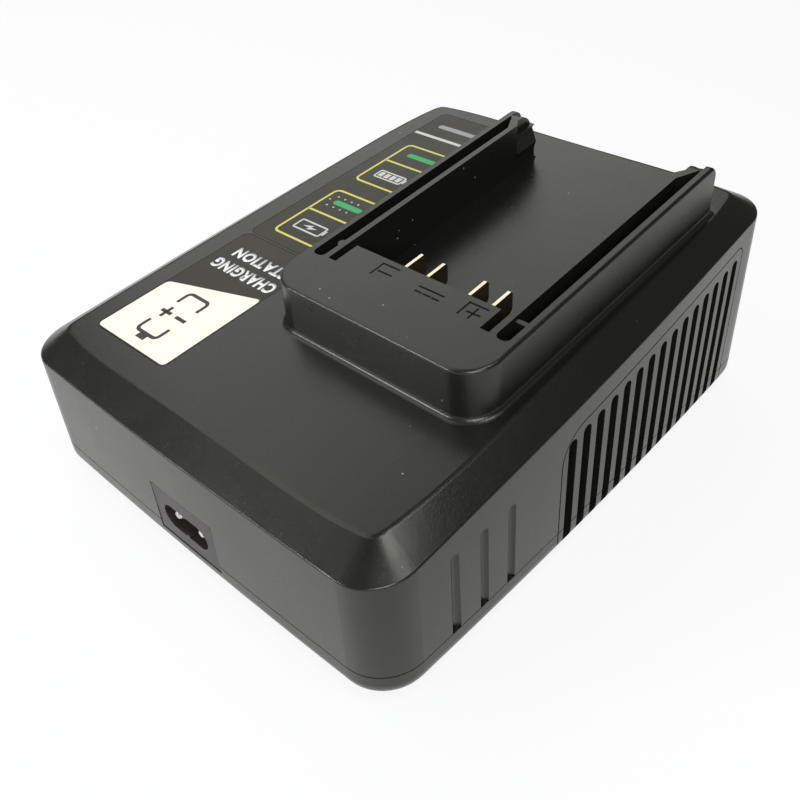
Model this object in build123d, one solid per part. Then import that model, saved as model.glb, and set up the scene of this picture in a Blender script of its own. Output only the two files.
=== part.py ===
from build123d import *
import math
import os

os.makedirs("parts", exist_ok=True)

# ---------------------------------------------------------------------------
# Driving dimensions, millimetres.
# X runs across the charger, Y from the mains inlet (front, -Y) to the open end
# of the battery bay (rear, +Y), Z up from the table.
# ---------------------------------------------------------------------------

# Housing outline and wedge
BODY_WIDTH = 122.3
BODY_DEPTH = 150.0
SIDE_CROWN = 1.5
END_CROWN = 0.8
CORNER_RADIUS = 10.75
WALL_DRAFT = 0.5
PARTING_Z = 9.0
PARTING_GROOVE_HEIGHT = 0.25
PARTING_GROOVE_DEPTH = 0.6
DECK_SLOPE = 0.1434
DECK_Z = 48.90
SHOULDER_DROP = 4.35
CHAMFER_RUN = 7.47
SHOULDER_RADIUS = 0.5
SHOULDER_REACH = 0.8
DECK_EDGE_RADIUS = 2.0
WALL = 2.4
TRAY_FLOOR = 2.2
TRAY_BOTTOM_Z = 1.6
TRAY_RADIUS = 4.8
LIP_HEIGHT = 2.0
LIP_THICKNESS = 1.0
LIP_GAP = 0.1
LIP_ROOT = 0.5

# The chamfer of the inside keeps the wall as thick as elsewhere
CHAMFER_SLANT = math.hypot(1 / CHAMFER_RUN, 1 / SHOULDER_DROP)
INNER_CHAMFER_RUN = CHAMFER_RUN * (1 + WALL * (CHAMFER_SLANT - 1 / SHOULDER_DROP)) - WALL
INNER_SHOULDER_DROP = SHOULDER_DROP * (1 + WALL * (CHAMFER_SLANT - 1 / CHAMFER_RUN)) - WALL

# Battery dock; its top rises a little faster than the deck and its rails open towards the mouth
DOCK_CENTRE_X = 19.78
DOCK_HALF_WIDTH = 30.86
DOCK_FRONT_Y = -37.3
DOCK_REAR_Y = 54.4
DOCK_TOP_Z = 61.62
DOCK_TOP_SLOPE = 0.1565
DOCK_ROOT = 1.2
DOCK_CORNER_RADIUS = 8.0
DOCK_EDGE_RADIUS = 0.8
DOCK_FOOT_RADIUS = 1.3
BAY_HALF_WIDTH = 23.67
BAY_FRONT_Y = -17.93
RAIL_SPLAY = 0.011
RAIL_SLOT_INNER = 25.26
RAIL_SLOT_OUTER = 28.76
RAIL_SLOT_FRONT_Y = -25.3
RAIL_SLOT_BEND_Y = 43.6
RAIL_SLOT_REAR_Y = 49.3
RAIL_SLOT_FLOOR = 1.6
RAIL_SLOT_END_WIDTH = 0.5
RAIL_SLOT_RADIUS = 1.4
RAIL_END_RADIUS = 2.6
NOTCH_WIDTH = 2.4
NOTCH_FRONT_Y = -24.8
NOTCH_REAR_Y = -17.4
POST_FRONT_Y = 45.85
POST_SETBACK = 1.6
POST_SETBACK_RUN = 2.2
POST_END_RADIUS = 4.4
POST_LIP_DEPTH = 3.0
POST_NECK_DEPTH = 4.4
POST_FLANK_DEPTH = 8.2
POST_FOOT_DEPTH = 10.0
POST_NECK = 1.1
POST_FLANK = 0.4
POST_FOOT = 0.2
POST_BOTTOM_DEPTH = 14.6
POST_HOLE_RADIUS = 1.15
POST_HOLE_DEPTH = 6.0
POST_HOLE_Y = 51.6
POST_HOLE_OFFSET = 26.9
CROSS_BAR_Y = -18.35
CROSS_BAR_THICKNESS = 1.1
CROSS_BAR_DROP = 0.6
SLOT_STUD_RADIUS = 1.1
SLOT_STUD_OFFSET = 25.86

# Battery contacts
BLADE_XS = (13.94, 20.5, 32.36, 38.84)
BLADE_THICKNESS = 0.8
BLADE_TIP_Y = -11.85
BLADE_HEIGHT = 6.5
BLADE_NOSE = 0.6
BLADE_HEEL = 2.0
BLADE_HEEL_RADIUS = 1.2
BLADE_SLIT_CLEARANCE = 0.1

# Ventilation
VENT_COUNT = 15
VENT_FIRST_Y = -19.3
VENT_PITCH = 5.25
VENT_WIDTH = 3.0
VENT_TOP_Z = 37.1
VENT_TOP_SLOPE = 0.1515
VENT_BOTTOM_Z = 4.0
VENT_CUT_X = 54.0
VENT_CUT_REACH = 10.0
VENT_FRAME_FRONT_Y = -21.5
VENT_FRAME_REAR_Y = 59.9
VENT_FRAME_TOP_Z = 39.54
VENT_FRAME_SLOPE = 0.1617
VENT_FRAME_BOTTOM_Z = -5.0
VENT_FRAME_LINE = 0.35
VENT_FRAME_DEPTH = 0.3
VENT_FRAME_FRONT_RADIUS = 9.0
VENT_FRAME_REAR_RADIUS = 3.0

# Decorative flutes ahead of the vents
FLUTE_CENTRES_Y = (-38.1, -46.5, -54.85)
FLUTE_WIDTH = 2.4
FLUTE_DEPTH = 0.8
FLUTE_TOP_Z = 30.1
FLUTE_WALL_LEAN = 0.1

# Mains inlet
INLET_WIDTH = 21.5
INLET_BOTTOM_Z = 7.3
INLET_TOP_Z = 20.9
INLET_GAP = 0.15
INLET_FACE_Y = -74.85
INLET_FLANGE = 3.0
INLET_PLATE_RADIUS = 0.6
INLET_COLLAR_FRONT_Y = -72.3
INLET_COLLAR_MARGIN = 1.4
INLET_COLLAR_DEPTH = 1.2
INLET_BODY_WIDTH = 18.6
INLET_BODY_HEIGHT = 11.6
INLET_BODY_REAR_Y = -58.0
INLET_CENTRE_Z = 13.9
INLET_RECESS_HALF_WIDTH = 7.75
INLET_RECESS_RADIUS = 3.15
INLET_RECESS_DEPTH = 10.0
INLET_KEY_RADIUS = 0.55
INLET_PIN_RADIUS = 1.2
INLET_PIN_TIP_RADIUS = 0.7
INLET_PIN_OFFSET = 4.3
INLET_PIN_SETBACK = 0.8
INLET_TAIL_RADIUS = 0.8
INLET_TAIL_LENGTH = 4.0
INLET_GATE_MARGIN = 2.2
INLET_GATE_Y = (-72.6, -69.0)
INLET_GATE_Z = 6.8

# Fasteners
HOUSING_SCREW_XY = ((-47.5, -61.5), (47.5, -61.5), (-47.5, 61.5), (47.5, 61.5))
HOUSING_BOSS_RADIUS = 4.0
TRAY_BOSS_RADIUS = 4.6
SCREW_RADIUS = 1.5
SCREW_HEAD_RADIUS = 2.8
SCREW_HEAD_HEIGHT = 2.0
SCREW_SHANK_GAP = 0.2
SCREW_HEAD_GAP = 0.3
SCREW_CROSS_WIDTH = 0.7
SCREW_CROSS_LENGTH = 3.0
HOUSING_SCREW_LENGTH = 16.0
HOUSING_SCREW_SEAT_Z = 5.0
PILLAR_FOOT_Z = 10.2
BOARD_POST_RADIUS = 3.2
BOARD_SCREW_XY = ((-46.0, -44.0), (46.0, -44.0), (-46.0, 48.0), (46.0, 48.0))
BOARD_SCREW_LENGTH = 8.0

# Feet and the bare panel for a rating plate
FOOT_XY = ((-39.0, -49.0), (39.0, -49.0), (-39.0, 49.0), (39.0, 49.0))
FOOT_RADIUS = 5.5
FOOT_RECESS = 1.0
FOOT_CHAMFER = 0.5
RATING_PANEL = (-26.0, -20.0, 26.0, 20.0)

# Labels and status window let into the deck
LABEL_DEPTH = 0.3
LABEL_GAP = 0.15
LABEL_CORNER = 2.0
FRONT_LABEL = (-46.8, -61.5, -19.5, -16.4)
LEGEND_LABEL = (-46.9, -15.6, -19.5, 62.65)
WINDOW_X = -33.3
WINDOW_Y = 55.35
WINDOW_LENGTH = 18.4
WINDOW_WIDTH = 2.0
WINDOW_DEPTH = 4.2

# Contact block under the plateau
CONTACT_HOLLOW_WALL = 1.0
CONTACT_BLOCK_X = (10.1, 39.9)
CONTACT_BLOCK_Y = (-33.0, -20.45)
CONTACT_BLOCK_TOP = 2.7
CONTACT_BLOCK_BOTTOM = 14.0
CONTACT_GROOVE_WIDTH = 1.6
CONTACT_GROOVE_DEPTH = 4.0
BLADE_TAIL_Y = (-30.0, -27.0)
BLADE_TAIL_BOTTOM = 17.5
BLADE_SHOULDER = 3.0

# Status light board
LED_BOARD = (-42.8, 49.0, -20.6, 59.5)
LED_BOARD_TOP = 6.0
LED_BOARD_THICKNESS = 1.2
LED_PEGS = ((-40.6, 51.1), (-22.8, 51.1))
LED_PEG_STEM_RADIUS = 2.0
LED_PEG_TIP_RADIUS = 1.0
LED_PEG_TIP_LENGTH = 0.8
LED_PITCH = 5.7
LED_WIDTH = 3.2
LED_DEPTH = 2.0
LED_HEIGHT = 1.5

# Main board
BOARD_Z = 13.0
BOARD_THICKNESS = 1.6
BOARD_WIDTH = 104.0
BOARD_FRONT_Y = -52.0
BOARD_REAR_Y = 55.0
BOARD_CORNER_RADIUS = 2.0
BOARD_TOP_Z = BOARD_Z + BOARD_THICKNESS

# Transformer: places and sizes are (width, depth, height, lift above the board)
TRANSFORMER_XY = (-20.0, 8.0)
TRANSFORMER_CORE = (32.0, 12.0, 26.0, 1.5)
TRANSFORMER_WINDOW = (7.0, 14.0, 15.0, 7.0)
TRANSFORMER_WINDOW_OFFSET = 7.5
TRANSFORMER_WINDING = (21.0, 24.0, 14.4, 7.3)
TRANSFORMER_LEG = (8.0, 12.0, 20.0, 4.0)
TRANSFORMER_WINDING_RADIUS = 4.0

# Ring choke: inner radius, outer radius, low and high faces of its section
CHOKE_XY = (-26.0, -26.0)
CHOKE_CORE = (5.8, 10.4, 2.4, 9.4)
CHOKE_WINDING = (4.6, 11.6, 1.2, 10.6)
CHOKE_WINDING_ANGLE = 130.0

# Block-shaped parts on the board: x, y, width, depth, height
X_CAPACITOR = (20.0, -44.0, 18.0, 8.0, 13.0)
FUSE = (-12.5, -45.0, 8.5, 4.0, 8.0)
OPTOCOUPLER = (4.0, 20.0, 4.6, 6.5, 3.5)
CONTROL_CHIP = (-4.0, 38.0, 10.0, 4.0, 1.7)
BRIDGE_XY = (30.0, -33.0)
BRIDGE_BODY = (15.0, 3.6, 11.0, 3.0)
BRIDGE_LEG = (0.9, 0.6, 4.0)
BRIDGE_LEG_PITCH = 3.8

# Cans: x, y, radius, height
BULK_CAN = (1.0, -24.0, 8.5, 24.0)
OUTPUT_CANS = ((33.0, -14.0, 5.0, 16.0), (33.0, 0.0, 5.0, 16.0), (33.0, 14.0, 5.0, 16.0))
CAN_EDGE = 0.8
CAN_GROOVE_Z = 2.0
CAN_GROOVE_HEIGHT = 1.0
CAN_GROOVE_DEPTH = 0.4

# Disc parts: x, y, radius, thickness, leg spacing
THERMISTOR = (-25.5, -46.0, 5.0, 3.5, 5.0)
Y_CAPACITOR = (5.0, 4.0, 4.0, 3.0, 5.0)
DISC_LIFT = 2.0
DISC_LEG_RADIUS = 0.4

# Power devices and their heat sinks
SWITCH_XY = (-47.0, -6.0)
DIODE_XY = (47.0, -4.0)
PACKAGE_WIDTH = 10.2
PACKAGE_THICKNESS = 4.4
PACKAGE_LIFT = 5.0
PACKAGE_HEIGHT = 9.0
TAB_THICKNESS = 1.3
TAB_HEIGHT = 15.0
TAB_HOLE_LIFT = 17.0
TAB_HOLE_RADIUS = 1.8
LEG_PITCH = 2.54
LEG_WIDTH = 0.8
LEG_THICKNESS = 0.6
LEG_INSET = 2.0
HEAT_SINK_THICKNESS = 2.0
HEAT_SINK_FLANGE = 5.0
HEAT_SINK_HEIGHT = 23.0
PRIMARY_SINK_Y = (-26.0, 14.0)
OUTPUT_SINK_Y = (-24.0, 16.0)

# Wiring
LEAD_RADIUS = 0.9
SIGNAL_LEAD_RADIUS = 0.6
MAINS_LEAD_BEND = 3.0
MAINS_LEAD_Y = (-56.2, -46.0)
MAINS_LEAD_Z = 22.0
OUTPUT_LEAD_BEND = 4.0
OUTPUT_LEAD_Y = 26.0
OUTPUT_LEAD_Z = 35.0
SIGNAL_LEAD_BEND = 3.5
SIGNAL_LEAD_Y = (51.5, 43.0)
SIGNAL_LEAD_Z = 38.0
SIGNAL_LEAD_PITCH = 2.5
SIGNAL_LEAD_GAP = 0.1

# Drawing aids: reach of a cutter past the face it opens, height of an uncut prism and of an
# uncut wall, how near an edge lies to the place it is picked by, and how level a flat top is
PAST = 1.0
PRISM_HEIGHT = 100.0
WALL_TOP_Z = 64.0
NEAR = 0.05
LEVEL = 0.95


# ---------------------------------------------------------------------------
# Shared shapes
# ---------------------------------------------------------------------------

def deck_plane(height):
    """A plane parallel to the sloping deck, crossing the middle of the charger at a height."""
    tilt = math.hypot(1.0, DECK_SLOPE)
    return Plane(origin=(0, 0, height), x_dir=(1, 0, 0), z_dir=(0, -DECK_SLOPE / tilt, 1 / tilt))


def deck_height(y, offset=0.0):
    """Height of the sloping deck at a place along the charger."""
    return DECK_Z + offset + DECK_SLOPE * y


def sloped_block(plan, low, high):
    """A vertical prism over a plan, ended below and above parallel to the deck."""
    prism = extrude(plan, PRISM_HEIGHT)
    prism = split(prism, bisect_by=deck_plane(low), keep=Keep.TOP)
    return split(prism, bisect_by=deck_plane(high), keep=Keep.BOTTOM)


def rectangle_between(x0, y0, x1, y1):
    """A plan rectangle given by two opposite corners."""
    return Pos((x0 + x1) / 2, (y0 + y1) / 2) * Rectangle(abs(x1 - x0), abs(y1 - y0))


def box_between(x0, y0, z0, x1, y1, z1):
    """A box given by two opposite corners."""
    centre = Pos((x0 + x1) / 2, (y0 + y1) / 2, (z0 + z1) / 2)
    return centre * Box(abs(x1 - x0), abs(y1 - y0), abs(z1 - z0))


def upright_cylinder(x, y, z0, z1, radius):
    """A vertical cylinder between two heights."""
    return Pos(x, y, (z0 + z1) / 2) * Cylinder(radius, z1 - z0)


def body_outline(inset):
    """Plan of the housing: four slightly crowned sides and rounded corners."""
    half_width = BODY_WIDTH / 2 - inset
    half_depth = BODY_DEPTH / 2 - inset
    corner_x = half_width - SIDE_CROWN
    corner_y = half_depth - END_CROWN
    with BuildSketch() as plan:
        with BuildLine():
            ThreePointArc((-corner_x, -corner_y), (0, -half_depth), (corner_x, -corner_y))
            ThreePointArc((corner_x, -corner_y), (half_width, 0), (corner_x, corner_y))
            ThreePointArc((corner_x, corner_y), (0, half_depth), (-corner_x, corner_y))
            ThreePointArc((-corner_x, corner_y), (-half_width, 0), (-corner_x, -corner_y))
        make_face()
        fillet(plan.vertices(), CORNER_RADIUS - inset)
    return plan.sketch


def drafted_prism(inset, z0, z1):
    """The housing outline raised between two heights with the draft of the moulded walls."""
    lean = math.tan(math.radians(WALL_DRAFT)) * (z0 - PARTING_Z)
    return extrude(Pos(0, 0, z0) * body_outline(inset + lean), z1 - z0, taper=WALL_DRAFT)


def deck_face(shape):
    """The flat sloping top of a housing form."""
    flat_tops = [face for face in shape.faces() if face.normal_at().Z > LEVEL]
    return max(flat_tops, key=lambda face: face.area)


def wedge_form(inset, bottom_z, deck_drop, run, drop):
    """The closed wedge of the upper housing with its broad chamfer."""
    prism = drafted_prism(inset, bottom_z, WALL_TOP_Z)
    wedge = split(prism, bisect_by=deck_plane(DECK_Z - deck_drop), keep=Keep.BOTTOM)
    deck = deck_face(wedge)
    return chamfer(deck.edges(), length=run, length2=drop, reference=deck)


# ---------------------------------------------------------------------------
# Upper housing
# ---------------------------------------------------------------------------

def shoulder_edges(shape):
    """The low edges of the broad chamfer, all the way round."""
    chosen = []
    for edge in shape.edges():
        points = [edge.position_at(place) for place in (0, 0.5, 1)]
        drops = [abs(p.Z - deck_height(p.Y, -SHOULDER_DROP)) for p in points]
        if max(drops) < SHOULDER_REACH:
            chosen.append(edge)
    return chosen


def outer_wedge():
    """Outside of the upper housing, with the crisp shoulder and the soft deck edge."""
    wedge = wedge_form(0.0, PARTING_Z, 0.0, CHAMFER_RUN, SHOULDER_DROP)
    wedge = fillet(shoulder_edges(wedge), SHOULDER_RADIUS)
    return fillet(deck_face(wedge).edges(), DECK_EDGE_RADIUS)


def dock_height(y, drop=0.0):
    """Height of the dock's top, or of a line that runs below it, at a place along the charger."""
    return DOCK_TOP_Z + DOCK_TOP_SLOPE * y - drop


def dock_top_plane(drop=0.0):
    """The plane of the dock's top, or one below it."""
    tilt = math.hypot(1.0, DOCK_TOP_SLOPE)
    direction = (0, -DOCK_TOP_SLOPE / tilt, 1 / tilt)
    return Plane(origin=(0, 0, DOCK_TOP_Z - drop), x_dir=(1, 0, 0), z_dir=direction)


def dock_block(plan, low, drop=0.0):
    """A vertical prism over a plan, from a deck level up to the dock's top or a plane below it."""
    prism = extrude(plan, PRISM_HEIGHT)
    prism = split(prism, bisect_by=deck_plane(low), keep=Keep.TOP)
    return split(prism, bisect_by=dock_top_plane(drop), keep=Keep.BOTTOM)


def rail_x(side, distance, y):
    """Place across the charger of a line of a rail, side is -1 or 1."""
    return DOCK_CENTRE_X + side * (distance + RAIL_SPLAY * (y - BAY_FRONT_Y))


def rail_strip(side, inner, outer, front, rear):
    """Plan of a strip that runs along a rail."""
    corners = [
        (rail_x(side, inner, front), front),
        (rail_x(side, outer, front), front),
        (rail_x(side, outer, rear), rear),
        (rail_x(side, inner, rear), rear),
    ]
    return make_face(Polyline(*corners, close=True))


def dock_plan():
    """Plan of the raised dock: the plateau at the front and the two rails behind it."""
    corners = [
        (rail_x(-1, DOCK_HALF_WIDTH, DOCK_FRONT_Y), DOCK_FRONT_Y),
        (rail_x(1, DOCK_HALF_WIDTH, DOCK_FRONT_Y), DOCK_FRONT_Y),
        (rail_x(1, DOCK_HALF_WIDTH, DOCK_REAR_Y), DOCK_REAR_Y),
        (rail_x(-1, DOCK_HALF_WIDTH, DOCK_REAR_Y), DOCK_REAR_Y),
    ]
    outline = make_face(Polyline(*corners, close=True))
    outline = fillet(outline.vertices().group_by(Axis.Y)[0], DOCK_CORNER_RADIUS)
    bay_rear = DOCK_REAR_Y + PAST
    bay = [
        (rail_x(-1, BAY_HALF_WIDTH, BAY_FRONT_Y), BAY_FRONT_Y),
        (rail_x(1, BAY_HALF_WIDTH, BAY_FRONT_Y), BAY_FRONT_Y),
        (rail_x(1, BAY_HALF_WIDTH, bay_rear), bay_rear),
        (rail_x(-1, BAY_HALF_WIDTH, bay_rear), bay_rear),
    ]
    return outline - make_face(Polyline(*bay, close=True))


def rail_slot(side):
    """The deep slot between a rail's outer wall and its inner rib, which bends outwards at the mouth."""
    bend = RAIL_SLOT_BEND_Y
    rear = RAIL_SLOT_REAR_Y
    corners = [
        (rail_x(side, RAIL_SLOT_INNER, RAIL_SLOT_FRONT_Y), RAIL_SLOT_FRONT_Y),
        (rail_x(side, RAIL_SLOT_OUTER, RAIL_SLOT_FRONT_Y), RAIL_SLOT_FRONT_Y),
        (rail_x(side, RAIL_SLOT_OUTER, rear), rear),
        (rail_x(side, RAIL_SLOT_OUTER - RAIL_SLOT_END_WIDTH, rear), rear),
        (rail_x(side, RAIL_SLOT_INNER, bend), bend),
    ]
    plan = make_face(Polyline(*corners, close=True))
    plan = fillet(plan.vertices().group_by(Axis.Y)[0], RAIL_SLOT_RADIUS)
    return dock_block(plan, DECK_Z + RAIL_SLOT_FLOOR, -PAST)


def nose_notch(side):
    """The notch that lets a nose of the battery run in between rib and plateau."""
    plan = rail_strip(side, BAY_HALF_WIDTH - NOTCH_WIDTH, BAY_HALF_WIDTH, NOTCH_FRONT_Y, NOTCH_REAR_Y)
    return dock_block(plan, DECK_Z, -PAST)


def rail_post(side):
    """The guide at the mouth of the bay: a lip, a neck and a lower flank, all along the post."""
    rib = BAY_HALF_WIDTH
    profile = [
        (RAIL_SLOT_INNER, 0.0),
        (rib, 0.0),
        (rib, POST_LIP_DEPTH),
        (rib + POST_NECK, POST_NECK_DEPTH),
        (rib - POST_FLANK, POST_FLANK_DEPTH),
        (rib + POST_FOOT, POST_FOOT_DEPTH),
        (rib + POST_FOOT, POST_BOTTOM_DEPTH),
        (RAIL_SLOT_INNER, POST_BOTTOM_DEPTH),
    ]
    top = dock_height(POST_FRONT_Y)
    corners = [(rail_x(side, x, POST_FRONT_Y), POST_FRONT_Y, top - depth) for x, depth in profile]
    section = make_face(Polyline(*corners, close=True))
    run = DOCK_REAR_Y - POST_FRONT_Y
    direction = Vector(side * RAIL_SPLAY, 1, DOCK_TOP_SLOPE)
    return extrude(section, run * direction.length, dir=direction.normalized())


def post_setback(side):
    """The upper part of a post stands back from the bay, so that the battery finds its way in."""
    rib = BAY_HALF_WIDTH
    full = POST_FRONT_Y + POST_SETBACK_RUN
    rear = DOCK_REAR_Y + PAST
    corners = [
        (rail_x(side, rib - PAST, POST_FRONT_Y - PAST), POST_FRONT_Y - PAST),
        (rail_x(side, rib, POST_FRONT_Y), POST_FRONT_Y),
        (rail_x(side, rib + POST_SETBACK, full), full),
        (rail_x(side, rib + POST_SETBACK, rear), rear),
        (rail_x(side, rib - PAST, rear), rear),
    ]
    waste = extrude(make_face(Polyline(*corners, close=True)), PRISM_HEIGHT)
    return split(waste, bisect_by=dock_top_plane(POST_LIP_DEPTH), keep=Keep.TOP)


def end_waste(side, inner, outer, radius):
    """What is taken off the top rear end of a rail to round it in side view."""
    reach = 3 * radius
    front = DOCK_REAR_Y - reach
    rear_top = dock_height(DOCK_REAR_Y)
    corners = [(front, dock_height(front)), (DOCK_REAR_Y, rear_top), (DOCK_REAR_Y, rear_top - reach)]
    side_view = make_face(Polyline(*corners, (front, rear_top - reach), close=True))
    rounded = fillet(side_view.vertices().sort_by(Axis.Y)[-1], radius)
    low = min(rail_x(side, inner, DOCK_REAR_Y), rail_x(side, outer, DOCK_REAR_Y))
    plane = Plane(origin=(low, 0, 0), x_dir=(0, 1, 0), z_dir=(1, 0, 0))
    return extrude(plane * (side_view - rounded), outer - inner)


def post_hole(side):
    """The small blind hole in the top of a post."""
    x = rail_x(side, POST_HOLE_OFFSET, POST_HOLE_Y)
    top = dock_height(POST_HOLE_Y)
    return upright_cylinder(x, POST_HOLE_Y, top - POST_HOLE_DEPTH, top + PAST, POST_HOLE_RADIUS)


def dock():
    """The raised battery dock, still without the hollow under its plateau."""
    block = dock_block(dock_plan(), DECK_Z - DOCK_ROOT)
    mouth = DOCK_REAR_Y + PAST
    for side in (-1, 1):
        strip = rail_strip(side, BAY_HALF_WIDTH - PAST, RAIL_SLOT_INNER, POST_FRONT_Y, mouth)
        block -= dock_block(strip, DECK_Z - DOCK_ROOT - PAST, -PAST)
        above_deck = dock_block(rail_strip(side, 0, DOCK_HALF_WIDTH, 0, mouth), DECK_Z - DOCK_ROOT)
        block += rail_post(side) & above_deck
        block -= end_waste(side, RAIL_SLOT_OUTER, DOCK_HALF_WIDTH + PAST, RAIL_END_RADIUS)
    block = fillet(block.edges().filter_by(on_dock_outline), DOCK_EDGE_RADIUS)
    for side in (-1, 1):
        block -= end_waste(side, BAY_HALF_WIDTH - PAST, RAIL_SLOT_OUTER, POST_END_RADIUS)
        block -= post_setback(side)
        block -= rail_slot(side)
        block -= nose_notch(side)
        block -= post_hole(side)
    bar_front = CROSS_BAR_Y - CROSS_BAR_THICKNESS / 2
    bar_rear = CROSS_BAR_Y + CROSS_BAR_THICKNESS / 2
    bar = rail_strip(1, RAIL_SLOT_INNER - NEAR, RAIL_SLOT_OUTER + NEAR, bar_front, bar_rear)
    block += dock_block(bar, DECK_Z, CROSS_BAR_DROP)
    stud = Pos(rail_x(-1, SLOT_STUD_OFFSET, CROSS_BAR_Y), CROSS_BAR_Y) * Circle(SLOT_STUD_RADIUS)
    return block + dock_block(stud, DECK_Z, CROSS_BAR_DROP)


def off_flank(point):
    """Distance of a point from the outer flank of the nearer rail."""
    side = 1 if point.X > DOCK_CENTRE_X else -1
    return abs(point.X - rail_x(side, DOCK_HALF_WIDTH, point.Y))


def on_dock_outline(edge):
    """True for the outer upper edges of the dock: front, both flanks and down the rear ends."""
    middle = edge.position_at(0.5)
    at_top = abs(middle.Z - dock_height(middle.Y)) < NEAR
    if off_flank(middle) < NEAR:
        return at_top or middle.Y > DOCK_REAR_Y - RAIL_END_RADIUS
    return at_top and middle.Y < DOCK_FRONT_Y + DOCK_CORNER_RADIUS / 2


def on_dock_foot(edge):
    """True for the edges where the outer walls of the dock meet the deck."""
    middle = edge.position_at(0.5)
    if abs(middle.Z - deck_height(middle.Y)) > NEAR:
        return False
    left = rail_x(-1, DOCK_HALF_WIDTH, middle.Y)
    right = rail_x(1, DOCK_HALF_WIDTH, middle.Y)
    on_front = abs(middle.Y - DOCK_FRONT_Y) < DOCK_CORNER_RADIUS / 2 and left < middle.X < right
    return on_front or off_flank(middle) < DOCK_EDGE_RADIUS / 2


def plateau_hollow():
    """The space under the plateau that holds the contact block."""
    reach = BAY_HALF_WIDTH - NOTCH_WIDTH - CONTACT_HOLLOW_WALL
    left = DOCK_CENTRE_X - reach
    right = DOCK_CENTRE_X + reach
    plan = rectangle_between(left, DOCK_FRONT_Y + WALL, right, BAY_FRONT_Y - WALL)
    return dock_block(plan, DECK_Z - WALL - PAST, WALL)


def vent_slots(side):
    """The upright ventilation slots of one side wall, cut through the wall only."""
    cutters = Part()
    for index in range(VENT_COUNT):
        middle = VENT_FIRST_Y + VENT_WIDTH / 2 + index * VENT_PITCH
        top = VENT_TOP_Z + VENT_TOP_SLOPE * middle
        centre_z = (VENT_BOTTOM_Z + top) / 2
        slot = SlotOverall(top - VENT_BOTTOM_Z, VENT_WIDTH, rotation=90)
        wall_plane = Plane(origin=(side * VENT_CUT_X, middle, centre_z), x_dir=(0, 1, 0), z_dir=(1, 0, 0))
        cutters += extrude(wall_plane * slot, side * VENT_CUT_REACH)
    return cutters


def vent_frame_panel(side, shrink):
    """A prism through one side wall over the area inside the line around the vents."""
    front = VENT_FRAME_FRONT_Y + shrink
    rear = VENT_FRAME_REAR_Y - shrink
    low = VENT_FRAME_BOTTOM_Z
    front_top = VENT_FRAME_TOP_Z + VENT_FRAME_SLOPE * front - shrink
    rear_top = VENT_FRAME_TOP_Z + VENT_FRAME_SLOPE * rear - shrink
    shape = make_face(Polyline((front, low), (rear, low), (rear, rear_top), (front, front_top), close=True))
    highest = shape.vertices().sort_by(Axis.Y)[-1]
    shape = fillet(highest, VENT_FRAME_REAR_RADIUS - shrink)
    foremost = shape.vertices().filter_by(lambda v: v.X < front + NEAR and v.Y > PARTING_Z)
    shape = fillet(foremost, VENT_FRAME_FRONT_RADIUS - shrink)
    wall_plane = Plane(origin=(side * VENT_CUT_X, 0, 0), x_dir=(0, 1, 0), z_dir=(1, 0, 0))
    return extrude(wall_plane * shape, side * VENT_CUT_REACH)


def vent_frame(side, skin):
    """The fine line around the vents, a shallow groove of even depth in the given skin."""
    ring = vent_frame_panel(side, 0.0) - vent_frame_panel(side, VENT_FRAME_LINE)
    return ring & skin


def flutes(side):
    """Three shallow rounded flutes running up from the parting line."""
    radius = (FLUTE_DEPTH ** 2 + (FLUTE_WIDTH / 2) ** 2) / (2 * FLUTE_DEPTH)
    crown_end = BODY_DEPTH / 2 - END_CROWN
    cutters = Part()
    for y in FLUTE_CENTRES_Y:
        wall_x = side * (BODY_WIDTH / 2 - SIDE_CROWN * (y / crown_end) ** 2 - FLUTE_WALL_LEAN)
        axis_x = wall_x + side * (radius - FLUTE_DEPTH)
        cutters += upright_cylinder(axis_x, y, PARTING_Z - PAST, FLUTE_TOP_Z, radius)
        cutters += Pos(axis_x, y, FLUTE_TOP_Z) * Sphere(radius)
    return cutters


def inlet_opening(gap):
    """The rectangular cut-out in both housing halves for the mains inlet."""
    half = INLET_WIDTH / 2 + gap
    front = -BODY_DEPTH / 2 - PAST
    rear = INLET_FACE_Y + INLET_FLANGE + gap
    return box_between(-half, front, INLET_BOTTOM_Z - gap, half, rear, INLET_TOP_Z + gap)


def label_plan(frame, margin=0.0):
    """Plan of a label film with rounded corners, grown by a margin."""
    x0, y0, x1, y1 = frame
    plan = rectangle_between(x0 - margin, y0 - margin, x1 + margin, y1 + margin)
    return fillet(plan.vertices(), LABEL_CORNER + margin)


def window_plan():
    """Plan of the light bar."""
    return Pos(WINDOW_X, WINDOW_Y) * SlotOverall(WINDOW_LENGTH, WINDOW_WIDTH)


def label_recesses():
    """Shallow pockets in the deck for the two films and the slot for the light bar."""
    front = sloped_block(label_plan(FRONT_LABEL, LABEL_GAP), DECK_Z - LABEL_DEPTH, DECK_Z + PAST)
    legend = sloped_block(label_plan(LEGEND_LABEL, LABEL_GAP), DECK_Z - LABEL_DEPTH, DECK_Z + PAST)
    window = sloped_block(window_plan(), DECK_Z - WINDOW_DEPTH - PAST, DECK_Z + PAST)
    return front + legend + window


def led_pegs():
    """Two pegs under the deck that carry the status light board."""
    pegs = Part()
    under_board = LED_BOARD_TOP + LED_BOARD_THICKNESS + LED_PEG_TIP_LENGTH
    for x, y in LED_PEGS:
        stem = Pos(x, y) * Circle(LED_PEG_STEM_RADIUS)
        tip = Pos(x, y) * Circle(LED_PEG_TIP_RADIUS)
        pegs += sloped_block(stem, DECK_Z - LED_BOARD_TOP, DECK_Z - PAST)
        pegs += sloped_block(tip, DECK_Z - under_board, DECK_Z - PAST)
    return pegs


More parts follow.
